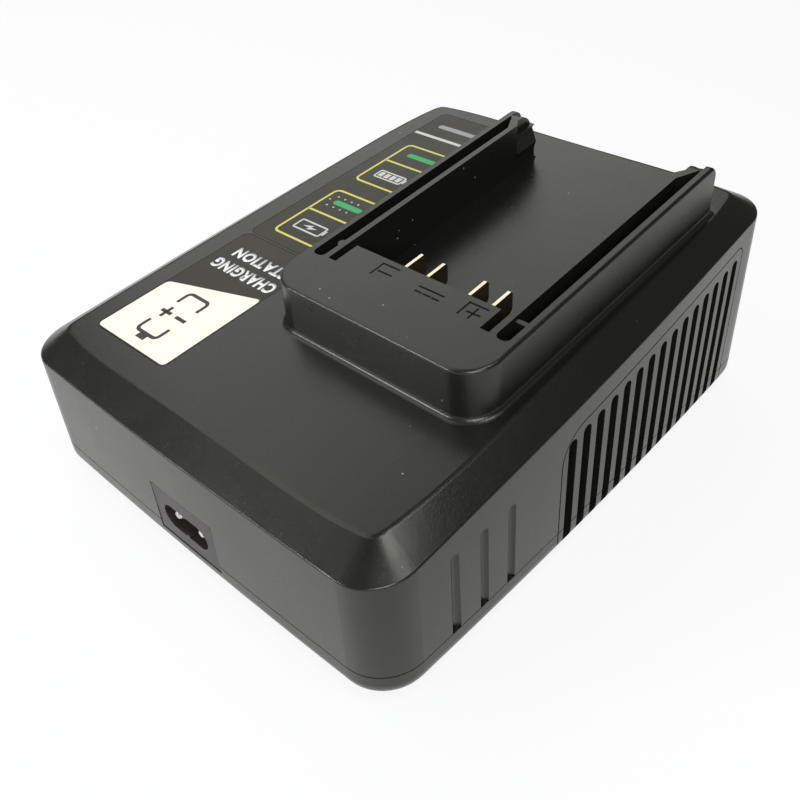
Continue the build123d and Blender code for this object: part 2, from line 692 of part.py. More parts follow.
def housing_pillars():
    """Four screw pillars hanging from the deck down to the bosses of the tray."""
    pillars = Part()
    for x, y in HOUSING_SCREW_XY:
        top = deck_height(y) - WALL / 2
        pillars += upright_cylinder(x, y, PILLAR_FOOT_Z, top, HOUSING_BOSS_RADIUS)
    return pillars


def blade_slits():
    """Slits in the rear wall of the plateau for the contact blades."""
    slits = Part()
    half = BLADE_THICKNESS / 2 + BLADE_SLIT_CLEARANCE
    low = dock_top_plane(BLADE_HEIGHT + BLADE_SLIT_CLEARANCE)
    for x in BLADE_XS:
        plan = rectangle_between(x - half, BAY_FRONT_Y - WALL - PAST, x + half, BAY_FRONT_Y + PAST)
        slit = dock_block(plan, DECK_Z, BLADE_SHOULDER - BLADE_SLIT_CLEARANCE)
        slits += split(slit, bisect_by=low, keep=Keep.TOP)
    return slits


def parting_groove():
    """The fine groove all round where the upper housing meets the tray."""
    ring = body_outline(-PAST) - body_outline(PARTING_GROOVE_DEPTH)
    return extrude(Pos(0, 0, PARTING_Z) * ring, PARTING_GROOVE_HEIGHT)


def make_top_housing():
    """Upper housing: hollow wedge, dock, vents, flutes, label pockets and screw pillars."""
    outer = outer_wedge() + dock()
    outer = fillet(outer.edges().filter_by(on_dock_foot), DOCK_FOOT_RADIUS)
    inner = wedge_form(WALL, PARTING_Z - PAST, WALL, INNER_CHAMFER_RUN, INNER_SHOULDER_DROP)
    skin = drafted_prism(0.0, 0.0, WALL_TOP_Z) - drafted_prism(VENT_FRAME_DEPTH, -PAST, WALL_TOP_Z + PAST)
    housing = outer - inner - plateau_hollow() - blade_slits()
    housing += housing_pillars() + led_pegs()
    housing -= inlet_opening(INLET_GAP)
    housing -= parting_groove()
    for side in (-1, 1):
        housing -= vent_slots(side)
        housing -= vent_frame(side, skin)
        housing -= flutes(side)
    for x, y in HOUSING_SCREW_XY:
        screw_top = HOUSING_SCREW_SEAT_Z + HOUSING_SCREW_LENGTH
        housing -= upright_cylinder(x, y, PARTING_Z - PAST, screw_top, SCREW_RADIUS)
    return housing - label_recesses()


# ---------------------------------------------------------------------------
# Lower housing
# ---------------------------------------------------------------------------

def tray_shell():
    """The tray itself: rolled lower edge outside, rounded inside."""
    floor_z = TRAY_BOTTOM_Z + TRAY_FLOOR
    outer = extrude(Pos(0, 0, TRAY_BOTTOM_Z) * body_outline(0.0), PARTING_Z - TRAY_BOTTOM_Z)
    outer = fillet(outer.faces().sort_by(Axis.Z)[0].edges(), TRAY_RADIUS)
    inner = extrude(Pos(0, 0, floor_z) * body_outline(WALL), PARTING_Z - floor_z + PAST)
    inner = fillet(inner.faces().sort_by(Axis.Z)[0].edges(), TRAY_RADIUS - WALL)
    return outer - inner


def tray_tongue():
    """The tongue that stands up inside the upper housing, with a gate for the mains inlet."""
    inner = body_outline(WALL + LIP_GAP + LIP_THICKNESS)
    root = extrude(Pos(0, 0, PARTING_Z - LIP_HEIGHT) * (body_outline(WALL - LIP_ROOT) - inner), LIP_HEIGHT)
    lip_plan = body_outline(WALL + LIP_GAP) - inner
    lip = extrude(Pos(0, 0, PARTING_Z - LIP_ROOT) * lip_plan, LIP_HEIGHT + LIP_ROOT)
    gate = INLET_WIDTH / 2 + INLET_GATE_MARGIN
    front, rear = INLET_GATE_Y
    return root + lip - box_between(-gate, front, INLET_GATE_Z, gate, rear, PARTING_Z + LIP_HEIGHT + PAST)


def make_bottom_housing():
    """Lower housing: shallow tray with tongue, screw bosses, board posts, feet seats and vents."""
    tray = tray_shell() + tray_tongue()
    inside_z = TRAY_BOTTOM_Z + TRAY_FLOOR / 2
    for x, y in HOUSING_SCREW_XY:
        tray += upright_cylinder(x, y, inside_z, PILLAR_FOOT_Z, TRAY_BOSS_RADIUS)
        tray -= upright_cylinder(x, y, 0, PILLAR_FOOT_Z + PAST, SCREW_RADIUS + SCREW_SHANK_GAP)
        tray -= upright_cylinder(x, y, 0, HOUSING_SCREW_SEAT_Z, SCREW_HEAD_RADIUS + SCREW_HEAD_GAP)
    for x, y in BOARD_SCREW_XY:
        tray += upright_cylinder(x, y, inside_z, BOARD_Z, BOARD_POST_RADIUS)
        tray -= upright_cylinder(x, y, BOARD_TOP_Z - BOARD_SCREW_LENGTH, BOARD_Z + PAST, SCREW_RADIUS)
    for x, y in FOOT_XY:
        tray -= upright_cylinder(x, y, 0, TRAY_BOTTOM_Z + FOOT_RECESS, FOOT_RADIUS)
    plate = rectangle_between(*RATING_PANEL)
    plate = fillet(plate.vertices(), LABEL_CORNER)
    tray -= extrude(plate, TRAY_BOTTOM_Z + LABEL_DEPTH)
    tray -= inlet_opening(INLET_GAP)
    wall_height = PARTING_Z + PAST
    skin = extrude(body_outline(0.0), wall_height) - extrude(body_outline(VENT_FRAME_DEPTH), wall_height)
    for side in (-1, 1):
        tray -= vent_slots(side)
        tray -= vent_frame(side, skin)
    return tray


def make_rubber_feet():
    """Four soft discs pressed into the tray."""
    feet = []
    for x, y in FOOT_XY:
        foot = upright_cylinder(x, y, 0, TRAY_BOTTOM_Z + FOOT_RECESS, FOOT_RADIUS)
        feet.append(chamfer(foot.edges().group_by(Axis.Z)[0], FOOT_CHAMFER))
    return Compound(children=feet)


# ---------------------------------------------------------------------------
# Mains inlet
# ---------------------------------------------------------------------------

def make_inlet_socket():
    """Two-pole inlet: face plate in the housing cut-out, collar behind the wall, rear body."""
    half = INLET_WIDTH / 2
    collar_y = INLET_FACE_Y + INLET_FLANGE
    plate = box_between(-half, INLET_FACE_Y, INLET_BOTTOM_Z, half, collar_y, INLET_TOP_Z)
    plate = fillet(plate.edges().filter_by(Axis.Y), INLET_PLATE_RADIUS)
    collar_half = half + INLET_COLLAR_MARGIN
    collar_low = INLET_BOTTOM_Z - INLET_COLLAR_MARGIN / 2
    collar_high = INLET_TOP_Z + INLET_COLLAR_MARGIN
    collar_rear = collar_y + INLET_COLLAR_DEPTH
    collar = box_between(-collar_half, INLET_COLLAR_FRONT_Y, collar_low, collar_half, collar_rear, collar_high)
    rear_half = INLET_BODY_WIDTH / 2
    body_low = INLET_CENTRE_Z - INLET_BODY_HEIGHT / 2
    body_high = INLET_CENTRE_Z + INLET_BODY_HEIGHT / 2
    body = box_between(-rear_half, collar_y, body_low, rear_half, INLET_BODY_REAR_Y, body_high)
    face = Plane(origin=(0, INLET_FACE_Y - PAST, INLET_CENTRE_Z), x_dir=(1, 0, 0), z_dir=(0, -1, 0))
    recess = SlotOverall(2 * INLET_RECESS_HALF_WIDTH, 2 * INLET_RECESS_RADIUS)
    for side in (-1, 1):
        recess -= Pos(0, side * INLET_RECESS_RADIUS) * Circle(INLET_KEY_RADIUS)
    socket = plate + collar + body - extrude(face * recess, -(INLET_RECESS_DEPTH + PAST))
    through = INLET_BODY_REAR_Y - INLET_FACE_Y + 2 * PAST
    for side in (-1, 1):
        hole = Pos(side * INLET_PIN_OFFSET, 0) * Circle(INLET_PIN_RADIUS)
        socket -= extrude(face * hole, -through)
    return socket


def make_inlet_pins():
    """Two round contact pins with thinner solder tails."""
    pins = []
    tip_y = INLET_FACE_Y + INLET_PIN_SETBACK
    length = INLET_BODY_REAR_Y - tip_y
    for side in (-1, 1):
        x = side * INLET_PIN_OFFSET
        start = Plane(origin=(x, tip_y, INLET_CENTRE_Z), x_dir=(1, 0, 0), z_dir=(0, 1, 0))
        pin = extrude(start * Circle(INLET_PIN_RADIUS), length)
        pin = fillet(pin.edges().group_by(Axis.Y)[0], INLET_PIN_TIP_RADIUS)
        pins.append(pin + extrude(start * Circle(INLET_TAIL_RADIUS), length + INLET_TAIL_LENGTH))
    return Compound(children=pins)


# ---------------------------------------------------------------------------
# Battery contacts
# ---------------------------------------------------------------------------

def blade(x):
    """One contact blade: flat tongue in the bay, shank in the block and tail below it."""
    tip = BLADE_TIP_Y
    exposed = BAY_FRONT_Y + BLADE_SLIT_CLEARANCE
    tail_front, tail_rear = BLADE_TAIL_Y
    profile = [
        (exposed, 0.0),
        (tip - BLADE_NOSE, 0.0),
        (tip, BLADE_NOSE),
        (tip, BLADE_HEIGHT - BLADE_HEEL),
        (tip - BLADE_HEEL, BLADE_HEIGHT),
        (tail_rear, BLADE_HEIGHT),
        (tail_rear, BLADE_TAIL_BOTTOM),
        (tail_front, BLADE_TAIL_BOTTOM),
        (tail_front, BLADE_SHOULDER),
        (exposed, BLADE_SHOULDER),
    ]
    points = [(x - BLADE_THICKNESS / 2, y, dock_height(y, depth)) for y, depth in profile]
    plate = extrude(make_face(Polyline(*points, close=True)), BLADE_THICKNESS, dir=(1, 0, 0))
    heel_y = tip - BLADE_HEEL - PAST
    heel_z = dock_height(tip, BLADE_HEIGHT / 2)
    heel = plate.edges().filter_by(Axis.X).filter_by(lambda e: e.center().Y > heel_y and e.center().Z < heel_z)
    return fillet(heel, BLADE_HEEL_RADIUS)


def make_terminal_block():
    """Insulating block under the plateau that grips the four blades."""
    left, right = CONTACT_BLOCK_X
    front, rear = CONTACT_BLOCK_Y
    low = dock_top_plane(CONTACT_BLOCK_BOTTOM)
    block = dock_block(rectangle_between(left, front, right, rear), 0, CONTACT_BLOCK_TOP)
    block = split(block, bisect_by=low, keep=Keep.TOP)
    for x in BLADE_XS:
        block -= blade(x)
    for x, next_x in zip(BLADE_XS[:-1], BLADE_XS[1:]):
        groove_left = (x + next_x - CONTACT_GROOVE_WIDTH) / 2
        groove_right = groove_left + CONTACT_GROOVE_WIDTH
        plan = rectangle_between(groove_left, front - PAST, groove_right, front + CONTACT_GROOVE_DEPTH)
        block -= extrude(plan, PRISM_HEIGHT)
    return block


# ---------------------------------------------------------------------------
# Deck films, light bar and status light board
# ---------------------------------------------------------------------------

def make_front_label():
    return sloped_block(label_plan(FRONT_LABEL), DECK_Z - LABEL_DEPTH, DECK_Z)


def make_legend_label():
    return sloped_block(label_plan(LEGEND_LABEL) - window_plan(), DECK_Z - LABEL_DEPTH, DECK_Z)


def make_status_window():
    return sloped_block(window_plan(), DECK_Z - WINDOW_DEPTH, DECK_Z)


def make_led_board():
    plan = rectangle_between(*LED_BOARD)
    for x, y in LED_PEGS:
        plan -= Pos(x, y) * Circle(LED_PEG_TIP_RADIUS)
    return sloped_block(plan, DECK_Z - LED_BOARD_TOP - LED_BOARD_THICKNESS, DECK_Z - LED_BOARD_TOP)


def make_status_leds():
    """Three small lamps on the light board, side by side under the light bar."""
    leds = []
    for step in (-1, 0, 1):
        plan = Pos(WINDOW_X + step * LED_PITCH, WINDOW_Y) * Rectangle(LED_WIDTH, LED_DEPTH)
        leds.append(sloped_block(plan, DECK_Z - LED_BOARD_TOP, DECK_Z - LED_BOARD_TOP + LED_HEIGHT))
    return Compound(children=leds)


# ---------------------------------------------------------------------------
# Main board and the parts on it
# ---------------------------------------------------------------------------

def on_board(x, y, width, depth, height, lift=0.0):
    """A box standing on the main board."""
    z = BOARD_TOP_Z + lift
    return box_between(x - width / 2, y - depth / 2, z, x + width / 2, y + depth / 2, z + height)


def can(x, y, radius, height):
    """An upright electrolytic capacitor with a rolled groove near its foot."""
    body = upright_cylinder(x, y, BOARD_TOP_Z, BOARD_TOP_Z + height, radius)
    body = chamfer(body.edges().group_by(Axis.Z)[-1], CAN_EDGE)
    low = BOARD_TOP_Z + CAN_GROOVE_Z
    high = low + CAN_GROOVE_HEIGHT
    ring = upright_cylinder(x, y, low, high, radius + PAST)
    ring -= upright_cylinder(x, y, low - PAST, high + PAST, radius - CAN_GROOVE_DEPTH)
    return body - ring


def disc(x, y, radius, thickness, leg_spacing):
    """A disc component standing on two legs."""
    centre_z = BOARD_TOP_Z + radius + DISC_LIFT
    plane = Plane(origin=(x, y - thickness / 2, centre_z), x_dir=(1, 0, 0), z_dir=(0, 1, 0))
    body = extrude(plane * Circle(radius), thickness)
    for side in (-1, 1):
        body += upright_cylinder(x + side * leg_spacing / 2, y, BOARD_TOP_Z, centre_z, DISC_LEG_RADIUS)
    return body


def tab_device(x, y, side):
    """A three-legged power device, its tab facing a heat sink on the given side."""
    front = y - PACKAGE_WIDTH / 2
    rear = y + PACKAGE_WIDTH / 2
    foot_z = BOARD_TOP_Z + PACKAGE_LIFT
    package = box_between(x, front, foot_z, x - side * PACKAGE_THICKNESS, rear, foot_z + PACKAGE_HEIGHT)
    device = package + box_between(x, front, foot_z, x - side * TAB_THICKNESS, rear, foot_z + TAB_HEIGHT)
    leg_x = x - side * LEG_INSET
    leg_end_x = leg_x - side * LEG_THICKNESS
    leg_top = foot_z + LEG_WIDTH
    for step in (-1, 0, 1):
        leg_y = y + step * LEG_PITCH - LEG_WIDTH / 2
        device += box_between(leg_x, leg_y, BOARD_TOP_Z, leg_end_x, leg_y + LEG_WIDTH, leg_top)
    hole_z = BOARD_TOP_Z + TAB_HOLE_LIFT
    across = Plane(origin=(x - PACKAGE_THICKNESS, y, hole_z), x_dir=(0, 1, 0), z_dir=(1, 0, 0))
    return device - extrude(across * Circle(TAB_HOLE_RADIUS), 2 * PACKAGE_THICKNESS)


def heat_sink(x, y_range, side):
    """A bent aluminium plate: upright web with a flange over the device."""
    front, rear = y_range
    top_z = BOARD_TOP_Z + HEAT_SINK_HEIGHT
    web = box_between(x, front, BOARD_TOP_Z, x + side * HEAT_SINK_THICKNESS, rear, top_z)
    return web + box_between(x, front, top_z - HEAT_SINK_THICKNESS, x - side * HEAT_SINK_FLANGE, rear, top_z)


def make_main_board():
    board = box_between(-BOARD_WIDTH / 2, BOARD_FRONT_Y, BOARD_Z, BOARD_WIDTH / 2, BOARD_REAR_Y, BOARD_TOP_Z)
    board = fillet(board.edges().filter_by(Axis.Z), BOARD_CORNER_RADIUS)
    for x, y in BOARD_SCREW_XY:
        board -= upright_cylinder(x, y, BOARD_Z - PAST, BOARD_TOP_Z + PAST, SCREW_RADIUS)
    return board


def make_transformer_core():
    """Ferrite core with its two windows."""
    x, y = TRANSFORMER_XY
    core = on_board(x, y, *TRANSFORMER_CORE)
    for side in (-1, 1):
        core -= on_board(x + side * TRANSFORMER_WINDOW_OFFSET, y, *TRANSFORMER_WINDOW)
    return core


def make_transformer_winding():
    """The wound bobbin around the middle leg of the core."""
    x, y = TRANSFORMER_XY
    winding = on_board(x, y, *TRANSFORMER_WINDING)
    winding = fillet(winding.edges().filter_by(Axis.Z), TRANSFORMER_WINDING_RADIUS)
    return winding - on_board(x, y, *TRANSFORMER_LEG)


def choke_ring(inner, outer, low, high, angle):
    """Part of a ring around the upright axis of the choke."""
    x, y = CHOKE_XY
    plane = Plane(origin=(x, y, BOARD_TOP_Z), x_dir=(1, 0, 0), z_dir=(0, -1, 0))
    section = Pos((inner + outer) / 2, (low + high) / 2) * Rectangle(outer - inner, high - low)
    return revolve(plane * section, Axis((x, y, 0), (0, 0, 1)), angle)


def make_emi_choke_windings():
    """Two windings, one on each half of the ring."""
    axis = Axis((*CHOKE_XY, 0), (0, 0, 1))
    sleeve = choke_ring(*CHOKE_WINDING, CHOKE_WINDING_ANGLE) - choke_ring(*CHOKE_CORE, 360)
    first = sleeve.rotate(axis, -CHOKE_WINDING_ANGLE / 2)
    return Compound(children=[first, first.rotate(axis, 180)])


def make_bridge_rectifier():
    """Flat rectifier block on four legs."""
    x, y = BRIDGE_XY
    body = on_board(x, y, *BRIDGE_BODY)
    for step in (-1.5, -0.5, 0.5, 1.5):
        body += on_board(x + step * BRIDGE_LEG_PITCH, y, *BRIDGE_LEG)
    return body


def make_output_capacitors():
    return Compound(children=[can(*place) for place in OUTPUT_CANS])


def screws(places, seat_z, length, head_up):
    """Pan-head screws with a cross recess, all alike."""
    made = []
    direction = 1 if head_up else -1
    for x, y in places:
        head_z = (seat_z, seat_z + direction * SCREW_HEAD_HEIGHT)
        tip_z = seat_z - direction * length
        screw = upright_cylinder(x, y, min(head_z), max(head_z), SCREW_HEAD_RADIUS)
        screw += upright_cylinder(x, y, min(seat_z, tip_z), max(seat_z, tip_z), SCREW_RADIUS)
        outer_z = head_z[1]
        cross = Box(SCREW_CROSS_LENGTH, SCREW_CROSS_WIDTH, SCREW_HEAD_HEIGHT)
        for turn in (0, 90):
            screw -= Pos(x, y, outer_z) * Rot(0, 0, turn) * cross
        made.append(screw)
    return Compound(children=made)


# ---------------------------------------------------------------------------
# Wiring
# ---------------------------------------------------------------------------

def lead(points, bend, radius):
    """A round lead along straight runs joined by arcs."""
    path = FilletPolyline(*points, radius=bend)
    section = Plane(origin=path @ 0, z_dir=path % 0) * Circle(radius)
    return sweep(section, path=path)


def lead_route(x, start_y, start_z, run_z, end_y):
    """From a terminal up or down to a level, along the charger, and down to the board."""
    return [(x, start_y, start_z), (x, start_y, run_z), (x, end_y, run_z), (x, end_y, BOARD_TOP_Z)]


def make_mains_leads():
    """Two leads from the solder tails of the inlet, up and over on to the board."""
    leads = []
    start_y, end_y = MAINS_LEAD_Y
    start_z = INLET_CENTRE_Z + INLET_TAIL_RADIUS
    for side in (-1, 1):
        route = lead_route(side * INLET_PIN_OFFSET, start_y, start_z, MAINS_LEAD_Z, end_y)
        leads.append(lead(route, MAINS_LEAD_BEND, LEAD_RADIUS))
    return Compound(children=leads)


def make_output_leads():
    """Four leads from the tails of the blades to the output side of the board."""
    leads = []
    tail_y = sum(BLADE_TAIL_Y) / 2
    start_z = dock_height(BLADE_TAIL_Y[0], BLADE_TAIL_BOTTOM)
    for x in BLADE_XS:
        route = lead_route(x, tail_y, start_z, OUTPUT_LEAD_Z, OUTPUT_LEAD_Y)
        leads.append(lead(route, OUTPUT_LEAD_BEND, LEAD_RADIUS))
    return Compound(children=leads)


def make_led_leads():
    """Three signal leads from the light board to the main board."""
    leads = []
    start_y, end_y = SIGNAL_LEAD_Y
    start_z = deck_height(start_y, -LED_BOARD_TOP - LED_BOARD_THICKNESS) - SIGNAL_LEAD_GAP
    for step in (-1, 0, 1):
        route = lead_route(WINDOW_X + step * SIGNAL_LEAD_PITCH, start_y, start_z, SIGNAL_LEAD_Z, end_y)
        leads.append(lead(route, SIGNAL_LEAD_BEND, SIGNAL_LEAD_RADIUS))
    return Compound(children=leads)


# ---------------------------------------------------------------------------
# Every piece
# ---------------------------------------------------------------------------

parts = {
    "top_housing": make_top_housing(),
    "bottom_housing": make_bottom_housing(),
    "rubber_feet": make_rubber_feet(),
    "inlet_socket": make_inlet_socket(),
    "inlet_pins": make_inlet_pins(),
    "terminal_block": make_terminal_block(),
    "front_label": make_front_label(),
    "legend_label": make_legend_label(),
    "status_window": make_status_window(),
    "led_board": make_led_board(),
    "status_leds": make_status_leds(),
    "main_board": make_main_board(),
    "transformer_core": make_transformer_core(),
    "transformer_winding": make_transformer_winding(),
    "bulk_capacitor": can(*BULK_CAN),
    "output_capacitors": make_output_capacitors(),
    "emi_choke_core": choke_ring(*CHOKE_CORE, 360),
    "emi_choke_windings": make_emi_choke_windings(),
    "x_capacitor": on_board(*X_CAPACITOR),
    "fuse": on_board(*FUSE),
    "thermistor": disc(*THERMISTOR),
    "bridge_rectifier": make_bridge_rectifier(),
    "primary_heat_sink": heat_sink(SWITCH_XY[0], PRIMARY_SINK_Y, -1),
    "switch_transistor": tab_device(*SWITCH_XY, -1),
    "output_heat_sink": heat_sink(DIODE_XY[0], OUTPUT_SINK_Y, 1),
    "output_diode": tab_device(*DIODE_XY, 1),
    "optocoupler": on_board(*OPTOCOUPLER),
    "control_chip": on_board(*CONTROL_CHIP),
    "y_capacitor": disc(*Y_CAPACITOR),
    "board_screws": screws(BOARD_SCREW_XY, BOARD_TOP_Z, BOARD_SCREW_LENGTH, True),
    "housing_screws": screws(HOUSING_SCREW_XY, HOUSING_SCREW_SEAT_Z, HOUSING_SCREW_LENGTH, False),
    "mains_leads": make_mains_leads(),
    "output_leads": make_output_leads(),
    "led_leads": make_led_leads(),
}
for number, blade_x in enumerate(BLADE_XS, start=1):
    parts[f"battery_blade_{number}"] = blade(blade_x)

for name, shape in parts.items():
    export_step(shape, f"parts/{name}.step")
    print(name, len(shape.solids()), round(shape.volume), shape.is_valid)
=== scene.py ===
# %% [markdown]
# # A dock charger for slide-on batteries
# The charger is a wedge of black moulded plastic. A battery slides onto the raised dock, two films on the left of
# the deck say what the light bar means, and the mains cord plugs into the front wall.
# The solids come from the construction model and stay as they are. This lesson gives them their finishes, adds the
# printed signs that are too thin to be solids, and sets up the table, the lamps and the camera.

# %% Load the fixed frame
import math

import bmesh
import bpy
from mathutils import Matrix, Quaternion, Vector


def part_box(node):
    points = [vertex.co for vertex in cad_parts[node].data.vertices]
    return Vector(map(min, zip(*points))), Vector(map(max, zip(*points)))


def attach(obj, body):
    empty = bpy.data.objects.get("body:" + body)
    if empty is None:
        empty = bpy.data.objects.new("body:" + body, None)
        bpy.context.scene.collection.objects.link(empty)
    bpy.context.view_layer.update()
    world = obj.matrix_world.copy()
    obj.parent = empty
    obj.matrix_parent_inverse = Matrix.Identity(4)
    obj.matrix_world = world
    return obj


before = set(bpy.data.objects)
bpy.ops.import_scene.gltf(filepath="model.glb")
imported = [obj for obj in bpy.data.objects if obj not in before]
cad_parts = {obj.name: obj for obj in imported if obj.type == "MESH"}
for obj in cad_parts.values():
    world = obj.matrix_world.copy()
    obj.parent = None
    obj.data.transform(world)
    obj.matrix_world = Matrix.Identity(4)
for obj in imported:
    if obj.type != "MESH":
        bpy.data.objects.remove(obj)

scene = bpy.context.scene
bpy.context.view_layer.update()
MM = 0.001

# %% [markdown]
# ## The camera
# The charger is seen from a hand's breadth above its front right corner, which is why its near corner looks so
# large. A lens that is aimed at a point is easy to read back: the direction becomes a quaternion, and a degree of
# roll is turned about the camera's own axis. The frame is moved with the lens shift rather than by turning the
# camera, so that the upright edges keep their slant.

# %% Camera
CAMERA_PLACE = Vector((0.13005, -0.13130, 0.15029))
CAMERA_AIM = Vector((0.02901, -0.00286, 0.03499))
CAMERA_ROLL = math.radians(0.998)
CAMERA_LENS = 37.53
CAMERA_SENSOR = 36.0
CAMERA_SHIFT = (-0.1250, -0.0624)
CAMERA_NEAREST = 0.005

camera_data = bpy.data.cameras.new("camera")
camera_data.sensor_width = CAMERA_SENSOR
camera_data.lens = CAMERA_LENS
camera_data.shift_x, camera_data.shift_y = CAMERA_SHIFT
camera_data.clip_start = CAMERA_NEAREST
camera = bpy.data.objects.new("camera", camera_data)
scene.collection.objects.link(camera)
camera.location = CAMERA_PLACE
camera.rotation_mode = "QUATERNION"
aim = (CAMERA_AIM - CAMERA_PLACE).to_track_quat("-Z", "Y")
camera.rotation_quaternion = aim @ Quaternion((0.0, 0.0, 1.0), CAMERA_ROLL)
scene.camera = camera
scene.view_settings.view_transform = "Standard"
print("camera", round((CAMERA_AIM - CAMERA_PLACE).length, 3), "m from its aim")

# %% [markdown]
# ## Small helpers for node trees
# Every finish below is a node tree. Four short helpers keep the cells readable: one starts a material with its
# Principled shader, one adds a node with its values, one joins two sockets, and one opens a group with its sockets.

# %% Node helpers
PLASTIC_IOR = 1.5


def start_material(name, colour, roughness, metallic=0.0, specular=0.5):
    """A material with one Principled shader, whose plain values sit on the shader's own sockets."""
    material = bpy.data.materials.new(name)
    material.use_nodes = True
    shader = material.node_tree.nodes["Principled BSDF"]
    shader.inputs["Base Color"].default_value = (*colour, 1.0)
    shader.inputs["Roughness"].default_value = roughness
    shader.inputs["Metallic"].default_value = metallic
    shader.inputs["IOR"].default_value = PLASTIC_IOR
    shader.inputs["Specular IOR Level"].default_value = specular
    return material, shader


def add_node(tree, kind, place, **values):
    """Adds a node; a value whose name is a socket goes to the socket, any other is a property."""
    node = tree.nodes.new(kind)
    node.location = place
    for name, value in values.items():
        label = name.replace("_", " ").title()
        if label in node.inputs:
            node.inputs[label].default_value = value
        else:
            setattr(node, name, value)
    return node


def join(tree, source, out_name, target, in_name):
    """Joins an output to an input, each found by its name or number."""
    tree.links.new(source.outputs[out_name], target.inputs[in_name])


def open_group(name, inputs, outputs):
    """Starts a shader node group with number inputs, and outputs given as (name, kind of socket)."""
    group = bpy.data.node_groups.new(name, "ShaderNodeTree")
    for label in inputs:
        group.interface.new_socket(label, in_out="INPUT", socket_type="NodeSocketFloat")
    for label, kind in outputs:
        group.interface.new_socket(label, in_out="OUTPUT", socket_type=kind)
    group_in = add_node(group, "NodeGroupInput", (-1100, 0))
    group_out = add_node(group, "NodeGroupOutput", (700, 0))
    return group, group_in, group_out


print("index of refraction of every material here:", PLASTIC_IOR)

# %% [markdown]
# ## Grain, one group for all mouldings
# A moulded face is never optically smooth. The tool's face is spark eroded, which leaves a fine grain that sparkles
# where it mirrors a lamp, and dust and pale specks of scuffed plastic collect on it. An even noise would either look
# like leather or average out, so only its upper part is kept: small peaks that stand on a flat face. The pattern reads
# the position on the piece, so it doesn't depend on how a face is cut. The group puts out a normal, a roughness and
# a speck mask, and the shader stays in the material.

# %% Moulded grain group
PEAK_STEP = 0.02 * MM
PEAK_RANGE = (0.52, 0.72)
PATCH_SCALE = 35.0
PATCH_RANGE = (0.35, 0.65)
SPECK_SCALE = 260.0
SPECK_RADIUS = (0.075, 0.035)
SPECK_CHANCE = 0.86

grain, group_in, group_out = open_group(
    "moulded_grain",
    ("Grain Size", "Grain Depth", "Roughness Low", "Roughness High"),
    (("Roughness", "NodeSocketFloat"), ("Normal", "NodeSocketVector"), ("Specks", "NodeSocketFloat")),
)
place = add_node(grain, "ShaderNodeTexCoord", (-900, 300))
fine = add_node(grain, "ShaderNodeTexNoise", (-700, 300), Detail=1.0, Roughness=0.5)
join(grain, place, "Object", fine, "Vector")
join(grain, group_in, "Grain Size", fine, "Scale")
peaks = add_node(grain, "ShaderNodeMapRange", (-500, 300), From_Min=PEAK_RANGE[0], From_Max=PEAK_RANGE[1])
join(grain, fine, "Fac", peaks, "Value")
bump = add_node(grain, "ShaderNodeBump", (-300, 300), Distance=PEAK_STEP)
join(grain, peaks, "Result", bump, "Height")
join(grain, group_in, "Grain Depth", bump, "Strength")
join(grain, bump, "Normal", group_out, "Normal")

patches = add_node(grain, "ShaderNodeTexNoise", (-600, 0), Scale=PATCH_SCALE, Detail=4.0, Roughness=0.65)
join(grain, place, "Object", patches, "Vector")
spread = add_node(grain, "ShaderNodeMapRange", (-300, 0), From_Min=PATCH_RANGE[0], From_Max=PATCH_RANGE[1])
join(grain, patches, "Fac", spread, "Value")
join(grain, group_in, "Roughness Low", spread, "To Min")
join(grain, group_in, "Roughness High", spread, "To Max")
join(grain, spread, "Result", group_out, "Roughness")

cells = add_node(grain, "ShaderNodeTexVoronoi", (-600, -300), Scale=SPECK_SCALE, Randomness=1.0)
join(grain, place, "Object", cells, "Vector")
dots = add_node(grain, "ShaderNodeMapRange", (-300, -300), From_Min=SPECK_RADIUS[0], From_Max=SPECK_RADIUS[1])
join(grain, cells, "Distance", dots, "Value")
chance = add_node(grain, "ShaderNodeSeparateColor", (-300, -450))
join(grain, cells, "Color", chance, "Color")
few = add_node(grain, "ShaderNodeMath", (-100, -450), operation="GREATER_THAN")
few.inputs[1].default_value = SPECK_CHANCE
join(grain, chance, "Red", few, 0)
both = add_node(grain, "ShaderNodeMath", (100, -300), operation="MULTIPLY")
join(grain, dots, "Result", both, 0)
join(grain, few, 0, both, 1)
join(grain, both, 0, group_out, "Specks")
print("group", grain.name, "with", len(grain.nodes), "nodes")

# %% [markdown]
# ## Drawn metal, one group for blades, pins, screws and sheet
# Rolled and drawn metal keeps fine lines along the way it was pulled. A noise that is stretched along one axis gives
# those lines; it drives both the roughness and a faint tint mask, so that the lines also show in flat light.

# %% Drawn metal group
DRAWN_SCALE = (900.0, 60.0, 900.0)
DRAWN_RANGE = (0.3, 0.7)
RELIEF_STEP = 0.1 * MM

drawn, group_in, group_out = open_group(
    "drawn_metal",
    ("Roughness Low", "Roughness High", "Line Depth"),
    (("Roughness", "NodeSocketFloat"), ("Normal", "NodeSocketVector"), ("Lines", "NodeSocketFloat")),
)
place = add_node(drawn, "ShaderNodeTexCoord", (-1100, 200))
stretch = add_node(drawn, "ShaderNodeMapping", (-900, 200))
stretch.inputs["Scale"].default_value = DRAWN_SCALE
join(drawn, place, "Object", stretch, "Vector")
lines = add_node(drawn, "ShaderNodeTexNoise", (-650, 200), Scale=1.0, Detail=4.0, Roughness=0.7)
join(drawn, stretch, "Vector", lines, "Vector")
spread = add_node(drawn, "ShaderNodeMapRange", (-350, 100), From_Min=DRAWN_RANGE[0], From_Max=DRAWN_RANGE[1])
join(drawn, lines, "Fac", spread, "Value")
join(drawn, group_in, "Roughness Low", spread, "To Min")
join(drawn, group_in, "Roughness High", spread, "To Max")
join(drawn, spread, "Result", group_out, "Roughness")
bump = add_node(drawn, "ShaderNodeBump", (-350, 350), Distance=RELIEF_STEP)
